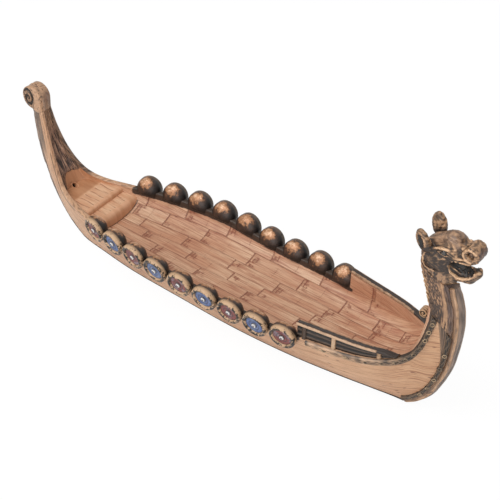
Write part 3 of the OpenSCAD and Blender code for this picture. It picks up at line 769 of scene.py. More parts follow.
def wall_top(name, u0, u1, side, node):
    """One length of the wall's top strip, with the marks that its finish reads, fitted to the boat."""
    rows = stations(u0, u1)
    t = np.r_[np.linspace(0, RAIL_FROM, OUT_FROM + 1)[:-1], np.linspace(RAIL_FROM, 0.97, 14)]
    p = np.r_[np.linspace(0, LINING_TO, IN_FROM + 1)[:-1], np.linspace(LINING_TO, 0.965, 18)]
    outer = outside(rows, t, np.full(len(t), side))
    inner = inside(rows, p * side)
    peak = (outside(rows, [1], [side]) + inside(rows, [side]))[:, 0] / 2
    top = rounded(outer[:, -1], inner[:, -1], peak)
    out_marks = levelled(combed(outer, rows, 3.0, 0) * [1, side, 1], outer, rows, side)
    in_marks = planks(inner[:, ::side], rows, (p * side)[::side])
    in_grain, in_plank = [in_marks[key][:, ::side][:, IN_FROM:][:, ::-1] for key in ("grain", "plank")]
    out_m = len(t) - OUT_FROM
    top_m = top.shape[1]
    in_m = len(p) - IN_FROM
    over = np.repeat(out_marks[:, -1:], top_m, 1)
    grain = np.concatenate([out_marks[:, OUT_FROM:], over, in_grain], 1)
    grain[:, out_m:out_m + top_m, 1] += side * run_of(top, 1)
    groove = np.abs(t[OUT_FROM:] - 0.9) * run_of(outer, 1)[:, [-1]]
    plank = np.full(grain.shape, FAR)
    plank[:, :out_m, 2] = groove + FAR * (1 - fade(rows, 1.0, 2.0) * fade(rows, 6.2, 5.0))[:, None]
    plank[:, out_m + top_m:] = in_plank
    ones = np.ones((len(rows), 1))
    within = ones * np.r_[np.zeros(out_m), np.linspace(0, 1, top_m) ** 3, np.ones(in_m)]
    crest = ones * np.r_[np.zeros(out_m - 3), 0.3, 0.6, 0.9, np.ones(top_m), 0.8, np.zeros(in_m - 1)]
    age = post_age(rows) * np.r_[np.linspace(0.8, 0, 7), np.zeros(within.shape[1] - 7)]
    if side < 0:
        old = (1 - fade(rows, 3.6, 4.4))[:, None] * within
    else:
        old = np.maximum((1 - fade(rows, 3.1, 3.45))[:, None] * within,
                         (1 - fade(rows, 3.4, 4.6))[:, None] * crest)
    # Painted shade: this mark blackens the wall's top under and between the shields; forward of the
    # bulwark's point it also turns the crest near black.
    near_shields = fade(rows, ROW_SHIELDS - 0.2, ROW_SHIELDS + 0.05)
    near_shields = (near_shields * fade(rows, ROW_BULWARK + 0.15, ROW_BULWARK))[:, None]
    behind = np.linspace(2.2, -1.8, in_m).clip(0, 1)
    behind = np.r_[np.linspace(0, 1, out_m) ** 2, np.ones(top_m), behind]
    over = np.r_[np.zeros(out_m - 3), np.ones(3 + top_m), np.linspace(1.6, -0.8, in_m).clip(0, 1)]
    soot = np.maximum(near_shields * behind, fade(rows, 13.1, 13.6)[:, None] * over * 0.9)
    plain = fade(rows, 5.6, 5.0)[:, None] * np.r_[np.zeros(out_m + top_m), np.ones(in_m)]
    skin = np.concatenate([outer[:, OUT_FROM:], top, inner[:, IN_FROM:][:, ::-1]], 1)
    strip = capped(name, skin, grain=grain, plank=plank, within=within, crest=crest, age=age, old=old,
                   soot=soot, plain=plain)
    fit(grow(strip, PLANKING, **{"Grain Depth": 0.14, "Finish": WALL_TAN}), "tan_resin", node)


def wall_build(w):
    """The hull's combed tan outside, the deck's planks inside, and a worn light crest between; the top
    goes near black under and between the shields as painted shade.
    """
    out = hull_build(w)
    planked = deck_build(w)
    inner = w.mark("within")
    crest = w.mark("crest")
    along, around, _ = w.marks("grain")
    _, _, to_seam = w.marks("plank")
    wear = w.noise(w.spot(along * 0.25, around * 0.8, 4.0), 3.0, 0.6)
    colour = inner.mix(out["Base Color"], planked["Base Color"])
    colour = (crest * wear.step(0.3, 0.6) * 0.75).mix(colour, "#cda382")
    colour = (crest * wear.step(0.48, 0.62) * 0.65).mix(colour, "#74503b")
    colour = (to_seam.step(0.8, 0.2) * (1.0 - inner) * 0.7).mix(colour, "#4a382c")
    colour = w.mark("plain").mix(colour, wear.step(0.3, 0.7).mix("#cd9670", "#bb825c"))
    streak = w.noise(w.spot(along * 0.16, around * 0.9, 2.0), 4.0, 0.6)
    bronze_side = streak.step(0.36, 0.62).mix("#33271f", "#94735c")
    colour = w.mark("old").step(0.3, 0.7).mix(colour, bronze_side)
    # Painted shade, near black, under and between the shields, and the near-black crest by the neck.
    soot = (w.mark("soot") + (wear - 0.5) * 0.9).step(0.42, 0.66)
    colour = (soot * 0.93).mix(colour, wear.step(0.4, 0.7).mix("#191310", "#30241d"))
    finish = {key: out[key] * (1.0 - inner) + planked[key] * inner for key in ("Roughness", "Height")}
    return {"Base Color": colour, **finish}


WALL_TAN = finish_of("wall tan", wall_build, coat=0.12, relief=0.15)
SIDES = {"starboard": -1, "port": 1}
LENGTHS = [("stern_rim", 0, ROW_SHIELDS), ("gunwale", ROW_SHIELDS, ROW_BULWARK),
           ("bow_strake", ROW_BULWARK, ROW_NECK)]
for hand, side in SIDES.items():
    for name, u0, u1 in LENGTHS:
        wall_top(f"{name}_{hand}.detail", u0, u1, side, f"{name}_{hand}")

# ---- Web and posts of the stern --------------------------------------------------------------
# The web closes the space between the rims above the niche. It and the two posts are cast in one
# with the hull and coloured like old bronze: dark brown, rubbed back to gold where they stand up.
def relief_tree():
    """Raises streaks and scales out of a surface, and keeps how far each point rises as raised."""
    tree, w = tree_of("streaks", Depth=0.5, Length=9.0, Width=1.0, Sharpness=0.12, Cell=2.4)
    skin = w["Geometry"]
    along, around, shift = skin.kept("grain", "FLOAT_VECTOR").split()
    streak = skin.noise(skin.spot(along / w["Length"] + shift, around / w["Width"], shift), 2.0, 0.55)
    streak = streak.step(0.5 - w["Sharpness"], 0.5 + w["Sharpness"])
    spot = skin.spot(along / w["Cell"], around / w["Cell"] * 1.4, shift)
    cell = skin.add("ShaderNodeTexVoronoi", {"Vector": spot, "Scale": 1.0}, feature="DISTANCE_TO_EDGE")
    scaly = skin.kept("scaly")
    raised = streak * (1.0 - scaly) + (cell.step(0.0, 0.3) * 0.65 + 0.2) * scaly
    raised = raised.math("MAXIMUM", skin.kept("ridge"))
    sockets = {"Geometry": skin, "Name": "raised", "Value": raised}
    marked = skin.add("GeometryNodeStoreNamedAttribute", sockets, data_type="FLOAT", domain="POINT")
    deliver(w, pressed(skin, marked, (raised - 0.5) * w["Depth"] * skin.kept("shown") * MM))
    return tree


def bronze(deep, mid, gold, bright):
    """Old bronze paint. The raised mark brings out the gold, and specks of wash are left on it."""
    def build(w):
        patch = w.grit(0.22, 2.0)
        grit = w.grit(0.7, 4.0, 0.65)
        level = w.mark("raised") + (grit - 0.5) * 0.7 + (patch - 0.5) * 0.5
        colour = level.step(0.0, 0.4).mix(deep, mid)
        colour = level.step(0.38, 0.72).mix(colour, gold)
        colour = (level.step(0.75, 1.1) * 0.8).mix(colour, bright)
        return {"Base Color": colour, "Roughness": 0.42 + grit * 0.25 - level.step(0.5, 1.0) * 0.12,
                "Metallic": level.step(0.4, 0.9) * 0.25, "Height": grit}
    return build


STREAKS = relief_tree()


def web_build(w):
    """Streaked bronze, rubbed back to tan at the top under the scroll."""
    out = bronze("#382b24", "#6a5145", "#9b7864", "#c9a083")(w)
    along, around, shift = w.marks("grain")
    streak = w.noise(w.spot(along * 0.1, around * 1.3, shift), 3.0, 0.6)
    tan = streak.step(0.36, 0.66).mix("#c39b7b", "#8a6852")
    bare = (w.mark("tip") + (streak - 0.5) * 0.9).step(0.35, 0.7)
    out["Base Color"] = (bare * 0.9).mix(out["Base Color"], tan)
    return out


WEB_BRONZE = finish_of("web bronze", web_build, coat=0.1, relief=0.12)
rows = stations(0, ROW_ARCH)
web_p = np.linspace(-LINING_TO, LINING_TO, 71)
skin = inside(rows, web_p)
fan = combed(skin, rows, 2.0)
fan[..., 1] = fan[..., 1] / (0.35 + 0.65 * fade(rows, 0, ROW_ARCH))[:, None]
tip = np.repeat(fade(rows, 1.5, 0.5)[:, None], len(web_p), 1)
web = slab("web", skin, under(rows, web_p), grain=fan, tip=tip)
web = grow(web, STREAKS, Depth=0.4, Length=9.0, Width=0.7, Finish=WEB_BRONZE)
fit(web, "antique_bronze", "stern_web")


def keel_out(rows):
    """Out of the keel's line, in the boat's middle plane."""
    d = outside(rows + 0.02, [0], 0)[:, 0] - outside(rows - 0.02, [0], 0)[:, 0]
    return unit(np.stack([d[:, 2], 0 * d[:, 0], -d[:, 0]], -1))


def post(name, u0, u1, proud, node, finish, ridge=0.0, gilt=1.0, **sizes):
    """A rounded strip down the middle of a post, streaked lengthwise, with a ridge along each edge."""
    rows = even_rows(u0, u1, 0.6)
    q = np.linspace(-1, 1, 33)
    line = outside(rows, [0], 0)[:, 0]
    half = ribs_at(rows)[:, [2]]
    out = keel_out(rows)[:, None, :]
    height = proud * (1 - 0.75 * q * q) + ridge * np.exp(-((np.abs(q) - 0.82) / 0.12) ** 2)
    skin = line[:, None, :] + out * height[None, :, None]
    base = line[:, None, :] - 0.4 * out * np.ones((1, len(q), 1))
    skin[..., 1] = q * half
    base[..., 1] = q * half * 0.9
    skin[..., 2] = np.maximum(skin[..., 2], 0.02)
    base[..., 2] = np.maximum(base[..., 2], 0.35)
    edge = np.repeat(gilt * np.abs(q)[None], len(rows), 0)
    strip = slab(name, skin, base, grain=combed(skin, rows, 6.0), edge=edge)
    fit(grow(strip, STREAKS, Finish=finish, **sizes), "antique_bronze", node)


def stem_build(w):
    """Grey-brown, streaked upright, with a gold ridge along each edge."""
    along, around, _ = w.marks("grain")
    edge = w.mark("edge")
    streak = w.noise(w.spot(along * 0.08, around * 1.6, 1.0), 4.0, 0.6)
    grit = w.grit(0.9, 3.0, 0.6)
    level = w.mark("raised") * 0.55 + streak * 0.5
    colour = level.step(0.2, 0.8).mix("#544740", "#9a8272")
    colour = (streak.step(0.58, 0.72) * 0.6).mix(colour, "#3a2f2a")
    broken = w.noise(w.spot(along * 0.22, around * 0.8, 5.0), 4.0, 0.65)
    gold = edge.step(0.62, 0.76) * (broken.step(0.36, 0.52) * 0.75 + 0.2)
    rubbed = broken.step(0.4, 0.66).mix("#bd9069", "#d3ab88")
    colour = (gold * 0.92).mix(colour, rubbed)
    colour = (edge.step(0.9, 0.97) * 0.6).mix(colour, "#6b4f3d")
    return {"Base Color": colour, "Roughness": 0.36 + streak * 0.25, "Metallic": gold * 0.2,
            "Height": streak + grit * 0.4}


STEM_GREY = finish_of("stem grey", stem_build, coat=0.2, relief=0.12)
post("stem_post", SOLE_ROWS[1], ROW_THROAT, 2.8, "stem_keel", STEM_GREY, ridge=0.5,
     Depth=0.35, Length=14.0, Width=1.3)
post("stern_post", 0, SOLE_ROWS[0], 2.8, "stern_keel", STEM_GREY, ridge=0.2, gilt=0.4,
     Depth=0.4, Length=10.0, Width=1.2)

# ---- Shields ---------------------------------------------------------------------------------
# Nine round shields hang along each gunwale. Each is cast with a domed back, a rounded rim and a
# sunk face with a painted disc and a silver boss. They are one shape, placed again and again.
SHIELD_PITCH = 14.0
MIDDLE_SHIELD = 5
MIDDLE_X = -6.7
SHIELD_OUT = 3.0
SHIELD_DOWN = 0.7
TILT = math.radians(10)


def placing_tree():
    """Sets a copy of Item on every point, turned by the point's own turn."""
    tree, w = tree_of("placing", Item=None)
    points = w["Geometry"]
    item = points.add("GeometryNodeObjectInfo", {"Object": w["Item"]}, out=4)
    sockets = {"Points": points, "Instance": item, "Rotation": points.kept("turn", "FLOAT_VECTOR")}
    deliver(w, points.add("GeometryNodeInstanceOnPoints", sockets))
    return tree


def placed(name, item, spots, finish):
    """One mesh with a copy of item at each spot: a place, and an axis that its own Z lies along."""
    places, axes = np.array([np.ravel(spot) for spot in spots], float).reshape(-1, 2, 3).swapaxes(0, 1)
    turns = np.stack([0 * axes[:, 0], np.arccos(axes[:, 2]), np.arctan2(axes[:, 1], axes[:, 0])], -1)
    seeds = bpy.data.meshes.new(name)
    seeds.from_pydata([tuple(p) for p in places * MM], [], [])
    mark = seeds.attributes.new("turn", "FLOAT_VECTOR", "POINT")
    mark.data.foreach_set("vector", turns.astype(np.float32).ravel())
    master = bpy.data.objects.new("master", item)
    mesh = grow(seeds, PLACING, Item=master, Finish=finish)
    bpy.data.objects.remove(master)
    return mesh


def shield_place(i, side):
    """Centre and axis of shield i, counted from the stern."""
    u = row_at(MIDDLE_X + (i - MIDDLE_SHIELD) * SHIELD_PITCH)
    rim = ribs_at([u])[0]
    slope = ribs_at([u + 0.05])[0] - ribs_at([u - 0.05])[0]
    yaw = side * (math.pi / 2 + math.atan(slope[5] / slope[3]))
    out = np.array([math.cos(yaw) * math.cos(TILT), math.sin(yaw) * math.cos(TILT), -math.sin(TILT)])
    return np.array([rim[3], side * (rim[4] + SHIELD_OUT), rim[6] - SHIELD_DOWN]), out


def lift_mark(mesh, direction):
    """The lift mark: how far each point of a mesh faces a direction."""
    normals = np.empty(len(mesh.vertices) * 3, np.float32)
    mesh.vertex_normals.foreach_get("vector", normals)
    facing = normals.reshape(-1, 3) @ unit(np.asarray(direction, float))
    mark = mesh.attributes.new("lift", "FLOAT", "POINT")
    mark.data.foreach_set("value", facing.astype(np.float32))


def shield_build(rubbed):
    """Black-brown low on the dome as painted shade, rubbed copper gold where it faces up with a painted
    highlight at the top, and a rim rubbed to cream gold as far as rubbed says; where rubbed is low the
    dark rim is painted shade.
    """
    def build(w):
        lift = w.mark("lift")
        grit = w.grit(0.55, 4.0, 0.62)
        fleck = w.grit(1.6, 2.0, 0.5)
        level = lift + (grit - 0.5) * 0.65 + (fleck - 0.5) * 0.2
        # Painted shade where the dome faces down, rubbed copper above it, and a painted highlight where
        # it faces most nearly up.
        colour = level.step(0.5, 0.82).mix("#1a1310", "#4b362b")
        colour = level.step(0.78, 0.92).mix(colour, "#b58059")
        colour = (level.step(0.93, 1.06) * 0.9).mix(colour, "#ecc3a0")
        worn = w.mark("rim") * (grit * 1.1 + fleck * 0.5 + lift * 0.2).step(0.66, 0.86) * rubbed
        colour = (worn * 0.94).mix(colour, "#d3ad88")
        return {"Base Color": colour, "Roughness": 0.3 + grit * 0.3,
                "Metallic": level.step(0.65, 0.9) * 0.3, "Height": grit * 0.7 + fleck * 0.3}
    return build


PLACING = placing_tree()
SHIELD_SIDES = 56
back = [[6.4 * math.sin(a), -4.8 * math.cos(a)] for a in np.radians(np.linspace(1.5, 90, 22))]
rim_line = np.concatenate([[[6.42, 0.5], [6.4, 1.4]], arc(5.5, 1.95, 0.92, 10, 165, 10),
                           [[4.52, 1.9], [4.4, 1.6], [0.05, 1.6]]])
profile = np.concatenate([back, rim_line])
angle = np.linspace(0, 2 * np.pi, SHIELD_SIDES, endpoint=False)
rings = lathe(profile, SHIELD_SIDES)
dent = 0.09 * np.sin(3 * angle + 1) + 0.07 * np.sin(5 * angle + 2.2)
rings[4:20] *= 1 + dent[None, :, None] * 0.12 * np.sin(np.linspace(0, np.pi, 16))[:, None, None]
inboard = 2.7 + 2.1 * fade(rings[..., 0], 2.6, 1.0)
rings[..., 2] = np.maximum(rings[..., 2], -inboard)
on_rim = np.r_[np.zeros(len(back)), 0.4, np.ones(len(rim_line) - 3), 0, 0]
shield = turned("shield", rings, rim=np.repeat(on_rim[:, None], SHIELD_SIDES, 1))
SPOTS = {hand: [shield_place(i, side) for i in range(1, 10)] for hand, side in SIDES.items()}
for hand, side in SIDES.items():
    # The port rims get little cream: their dark rims are painted shade.
    rubbed = 1.0 if side < 0 else 0.15
    finish = finish_of(f"shield bronze {hand}", shield_build(rubbed), coat=0.2, relief=0.12)
    mesh = placed(f"shields_{hand}", shield, SPOTS[hand], finish)
    # lift: how far each point faces up and inboard, which places the painted shade and the painted
    # highlight.
    lift_mark(mesh, [-0.1, -side * 0.5, 0.85])
    fit(mesh, "shield_bronze", *[f"shield_{hand}_{i}" for i in range(1, 10)])


def face_build(light, mid):
    """A painted disc: dark outline, a thin dark ring, and a smear of pale grey-blue at one side."""
    def build(w):
        reach = w.mark("reach")
        grit = w.grit(0.8, 4.0, 0.65)
        patch = w.grit(0.3, 1.0)
        edge = reach + (grit - 0.5) * 1.1
        colour = grit.step(0.35, 0.65).mix(mid, light)
        colour = (patch.step(0.5, 0.68) * 0.45).mix(colour, "#8f9cae")
        colour = (edge.step(4.0, 4.4) * 0.8).mix(colour, "#2a211e")
        colour = (abs(edge - 2.55).step(0.42, 0.1) * 0.65).mix(colour, "#33282a")
        colour = (reach.step(1.75, 1.3) * 0.9).mix(colour, "#1d1918")
        return {"Base Color": colour, "Roughness": 0.35 + grit * 0.3, "Height": grit}
    return build


def round_piece(name, profile, sides):
    """A small round item from its profile. Its reach mark is the distance from its middle."""
    profile = np.array(profile)
    return turned(name, lathe(profile, sides), reach=np.repeat(profile[:, :1], sides, 1))


disc = round_piece("disc", [[0.04, 2.02], [0.6, 2.02], [1.1, 2.0], [1.45, 1.92], [1.8, 2.0], [2.3, 2.06],
                            [2.55, 1.96], [2.8, 2.06], [3.3, 2.1], [3.8, 2.06], [4.1, 1.96], [4.45, 2.0],
                            [4.48, 1.5], [0.04, 1.5]], 48)
PAINTS = [("red", 0, "#8f4a44", "#6f3434"), ("blue", 1, "#6379a8", "#475a8c")]
for name, first, light, mid in PAINTS:
    finish = finish_of(f"{name} paint", face_build(light, mid), coat=0.25, relief=0.12)
    spots = [spot for hand in SIDES for spot in SPOTS[hand][first::2]]
    fit(placed(f"faces_{name}", disc, spots, finish), f"{name}_paint", f"shield_faces_{name}")


def boss_build(w):
    """Silver, dark in the ring round its foot."""
    grit = w.grit(1.4, 3.0, 0.6)
    ring = (abs(w.mark("reach") - 0.85) + (grit - 0.5) * 0.4).step(0.3, 0.14)
    return {"Base Color": ring.mix("#6f6c70", "#e6e2de"),
            "Roughness": 0.28 + grit * 0.3, "Height": grit}


dome = [[1.12 * math.cos(a), 2.3 + 0.62 * math.sin(a)] for a in np.radians(np.linspace(0, 88, 9))]
boss = round_piece("boss", [[0.03, 1.6], [1.12, 1.6], *dome], 24)
SILVER = finish_of("silver paint", boss_build, coat=0.0, relief=0.05)
spots = [spot for hand in SIDES for spot in SPOTS[hand]]
fit(placed("bosses", boss, spots, SILVER), "silver_paint", "shield_bosses")

# ---- Bulwark, windows and rail ---------------------------------------------------------------
# Forward of the shields the side stands higher. Outside it has a black strip of windows between
# cream posts, under a cream rail of two beads. It comes to a point where the side sweeps up.
WALL_T = 1.6
PANEL_T = 0.4
POST_OUT = 0.7
# where each post stands and how cream it is, and where the planks inside meet
POSTS = ((58.2, 0.0), (72.0, 1.0), (92.0, 0.6))
JOINT_X = 67.6


def bulwark(rows, v, h, side):
    """The bulwark: v runs from the gunwale to the top edge, h outwards from its inner face."""
    r = ribs_at(rows)[:, None, :]
    v, h = np.broadcast_arrays(np.asarray(v, float), np.asarray(h, float))
    top = np.maximum(r[..., 6] + 0.4, np.minimum(35, r[..., 6] + 7.4))
    z = r[..., 6] + (top - r[..., 6]) * np.atleast_2d(v)
    return np.stack([r[..., 3] + 0 * z, side * (r[..., 4] + np.atleast_2d(h) + 0 * z), z], -1)


def dark_build(w):
    """Black, rubbed brown on the two bars across each window."""
    grit = w.noise(w.object_mm(0.6, 0.9, 1.4), 4.0, 0.6)
    colour = (w.mark("raised") * 0.6 + grit).step(0.55, 1.1).mix("#15110f", "#5a4a3f")
    return {"Base Color": colour, "Roughness": 0.35 + grit * 0.35, "Height": grit}


def cream_build(light, mid, dark):
    """Worn cream paint, with brown wash in its hollows."""
    def build(w):
        grit = w.noise(w.object_mm(0.5, 0.9, 0.9), 4.0, 0.62)
        level = w.mark("raised") + (grit - 0.5) * 1.3
        colour = level.step(0.3, 0.62).mix(dark, mid)
        colour = level.step(0.6, 0.95).mix(colour, light)
        return {"Base Color": colour, "Roughness": 0.36 + grit * 0.3, "Height": grit}
    return build


WINDOW_BLACK = finish_of("window black", dark_build, coat=0.2, relief=0.12)
post_build = cream_build("#c9a888", "#ad8866", "#4b392c")
rail_build = cream_build("#cba788", "#a37e60", "#33261e")
POST_CREAM = finish_of("post cream", post_build, coat=0.15, relief=0.1)
RAIL_CREAM = finish_of("rail cream", rail_build, coat=0.15, relief=0.12)
rows = even_rows(ROW_BULWARK, ROW_POINT, 0.5)
UP = 18  # points up each face of the bulwark
OVER = 5  # points over its top
v = np.r_[np.linspace(0, 0.94, UP), np.ones(OVER), np.linspace(0.94, -0.22, UP)]
h = np.r_[np.full(UP, WALL_T), np.linspace(WALL_T - 0.1, 0.1, OVER), np.full(UP, -0.06)]
within = np.ones((len(rows), 1)) * np.r_[np.zeros(UP), np.linspace(0, 1, OVER), np.ones(UP)]
past_joint = ribs_at(rows)[:, [3]] - JOINT_X
pane_v = np.linspace(-0.04, 0.98, 30)
bars = np.exp(-((pane_v - 0.22) / 0.09) ** 2) + np.exp(-((pane_v - 0.62) / 0.09) ** 2)
bars = np.minimum(bars, 1)
bulge = 0.35 + 0.65 * np.sin(np.linspace(0.06, 0.94, 13) * np.pi) ** 0.5
bead_ring = np.concatenate([arc(2.25, 0.75, 0.78, -80, 110, 9), [[1.45, 1.22]],
                            arc(0.62, 0.72, 0.8, 60, 240, 9), [[0.9, -0.06], [1.9, -0.06]]])
bead = np.r_[np.linspace(1.1, 0.95, 6), 0.75, 0.4, 0, -0.4, 0.1, 0.35, np.full(7, 0.62), 0, 0]
panes = []
posts = []
for hand, side in SIDES.items():
    skin = bulwark(rows, v, h, side)
    grain = combed(skin, rows, 3.0, 0)
    grain[:, :, 1] = side * (40 - run_of(skin, 1))
    grain[:, UP + OVER:, 2] = 0.37 + 0.4 * (past_joint > 0)
    plank = np.full(skin.shape, FAR)
    plank[:, UP + OVER:, 0] = past_joint.clip(-FAR, FAR)
    wall = capped(f"bulwark_{hand}", skin, grain=grain, plank=plank, within=within)
    wall = grow(wall, PLANKING, **{"Grain Depth": 0.12, "Finish": WALL_TAN})
    fit(wall, "tan_resin", f"bow_bulwark_{hand}")
    pane = bulwark(rows, pane_v, WALL_T + PANEL_T * (0.35 + 0.65 * bars), side)
    back = bulwark(rows, pane_v, WALL_T - 0.3, side)
    panes.append(slab("pane", pane, back, raised=np.repeat(bars[None], len(rows), 0)))
    for x, cream in POSTS:
        own = np.linspace(row_at(x - 0.9), row_at(x + 0.9), 13)
        post_v = np.linspace(0.0, 1.0, 14)
        high = WALL_T + PANEL_T + POST_OUT * bulge
        face = bulwark(own, post_v, high[:, None], side)
        foot = bulwark(own, post_v, WALL_T - 0.2, side)
        worn = np.repeat(cream * bulge[:, None], len(post_v), 1)
        posts.append(slab("post", face, foot, raised=worn))
    edge = bulwark(rows, 1.0, bead_ring[:, 0], side)
    taper = (0.25 + 0.75 * fade(rows, ROW_POINT, ROW_POINT - 0.7))[:, None]
    edge[..., 2] += bead_ring[:, 1] * taper
    worn = bead[None] - 1.2 * fade(rows, row_at(90.5), row_at(92))[:, None]
    rail = turned(f"rail_{hand}", edge, raised=worn)
    fit(rail, "worn_gold", f"bow_rail_{hand}", finish=RAIL_CREAM)


def joined(name, meshes):
    """Several meshes with the same marks, as one mesh."""
    whole = bmesh.new()
    for mesh in meshes:
        whole.from_mesh(mesh)
    mesh = bpy.data.meshes.new(name)
    whole.to_mesh(mesh)
    whole.free()
    mesh.set_sharp_from_angle(angle=SMOOTH_ANGLE)
    return mesh


fit(joined("window_panes", panes), "black_paint", "window_panels", finish=WINDOW_BLACK)
fit(joined("window_posts.detail", posts), "worn_gold", "window_posts", finish=POST_CREAM)

# ---- Bands and rivets ------------------------------------------------------------------------
# Two raised bands on each side of the bow: one under the rim and one beside the stem. Each carries
# an interlaced strand between two thin edges, with ring rivets along its middle.
BAND_T = 0.7
BAND_W = 3.4
BAND_FROM = 10.7
STRAND_TURN = 7.4
RIVET_STEP = 0.55


def side_length(rows):
    """The straight distance from keel to rim at these rows."""
    return np.linalg.norm(np.diff(outside(rows, [0, 1], 1), axis=1)[:, 0], axis=-1)[:, None]


def proud(rows, t, side, height):
    """Points that stand out of the hull's side by height, and the direction out."""
    a = outside(rows + 0.02, t, side) - outside(rows - 0.02, t, side)
    b = outside(rows, t + 0.02, side) - outside(rows, t - 0.02, side)
    out = side * unit(np.cross(b, a))
    return outside(rows, t, side) + out * height[..., None], out


def band_build(w):
    """Dark bronze, with cream paint on the upper band where the pale mark is."""
    grit = w.grit(0.7, 4.0, 0.65)
    patch = w.grit(0.18, 1.0)
    level = w.mark("raised") * 0.9 + (grit - 0.5) * 1.1 + (patch - 0.5) * 0.4
    dark = level.step(0.1, 0.75).mix("#2c251f", "#6b5847")
    dark = (level.step(0.8, 1.15) * 0.85).mix(dark, "#b08c68")
    light = level.step(0.1, 0.7).mix("#a5846a", "#d0aa88")
    light = (grit.step(0.6, 0.72) * 0.7).mix(light, "#4a3d33")
    colour = (w.mark("pale") * patch.step(0.3, 0.6)).mix(dark, light)
    return {"Base Color": colour, "Roughness": 0.34 + grit * 0.3,
            "Metallic": level.step(0.7, 1.0) * 0.25, "Height": grit}


def band(name, u0, t, width, side, node):
    """A band from row u0 to the neck, from t upwards by width, or downwards if that is negative."""
    rows = even_rows(u0, ROW_NECK, 0.5)
    f = np.linspace(0, 1, 25)
    ts = t + f[None] * width / side_length(rows)
    span = f * BAND_W
    strand = np.zeros((len(rows), len(f)))
    for turn in (-1, 1):
        wave = BAND_W * (0.5 + turn * 0.27 * np.sin(2 * np.pi * mile(rows) / STRAND_TURN))[:, None]
        strand = np.maximum(strand, np.exp(-((span - wave) / 0.3) ** 2))
    edges = np.exp(-((span - 0.3) / 0.24) ** 2) + np.exp(-((span - BAND_W + 0.3) / 0.24) ** 2)
    raised = np.maximum(strand, edges[None])
    height = BAND_T * (1 - np.abs(2 * f - 1) ** 8) + 0.32 * raised
    height[:, [0, -1]] = 0.1
    skin = proud(rows, ts, side, height)[0]
    foot = proud(rows, ts, side, np.full(ts.shape, -0.25))[0]
    pale = np.repeat(fade(rows, 14.0, 12.2)[:, None], len(f), 1) * (width < 0)
    mesh = slab(name, skin, foot, pale=pale, raised=raised)
    fit(mesh, "antique_bronze", node, finish=BAND_BRONZE)


BAND_BRONZE = finish_of("band bronze", band_build, coat=0.2, relief=0.14)
BANDS = [("bow_band", BAND_FROM, 1, -BAND_W), ("stem_band", SOLE_ROWS[1], 0.03, BAND_W)]
rivet_spots = []
for hand, side in SIDES.items():
    for name, first, t, width in BANDS:
        band(f"{name}_{hand}.detail", first, t, width, side, f"{name}_{hand}")
        rows = np.arange(first + 0.4, ROW_NECK - 0.29, RIVET_STEP)
        middle = t + 0.5 * width / side_length(rows)
        at, out = proud(rows, middle, side, np.full(middle.shape, BAND_T - 0.1))
        rivet_spots += zip(at[:, 0], out[:, 0])


def rivet_build(w):
    """Gold on the raised ring, rubbed off here and there."""
    grit = w.grit(1.1, 3.0, 0.6)
    patch = w.grit(0.13, 1.0)
    ring = (abs(w.mark("reach") - 0.8) + (grit - 0.5) * 0.5).step(0.36, 0.12)
    colour = (ring * (patch.step(0.58, 0.4) * 0.65 + 0.3)).mix("#2a211b", "#b49876")
    return {"Base Color": colour, "Roughness": 0.32 + grit * 0.3, "Height": grit}


rivet = round_piece("rivet", [[0.02, 0.15], [0.3, 0.17], [0.5, 0.15], [0.62, 0.4], [0.8, 0.52],
                              [0.98, 0.4], [1.1, 0.14], [1.3, 0.1], [1.3, -0.2], [0.02, -0.2]], 16)
RIVET_BRONZE = finish_of("rivet bronze", rivet_build, coat=0.2, relief=0.05)
fit(placed("ring_rivets", rivet, rivet_spots, RIVET_BRONZE), "antique_bronze", "rivets")

# ---- Scroll and mane curl --------------------------------------------------------------------
# The stern post ends in a rolled scroll, and the mane ends in a small curl behind the neck. Both
# are cast with the boat. Their two faces carry a spiral ridge with dark paint left in the groove.
# points across a roll's face, round the bend at its edge and along its rim
ROLL_FACE = 40
ROLL_BEND = 7
ROLL_RIM = 22


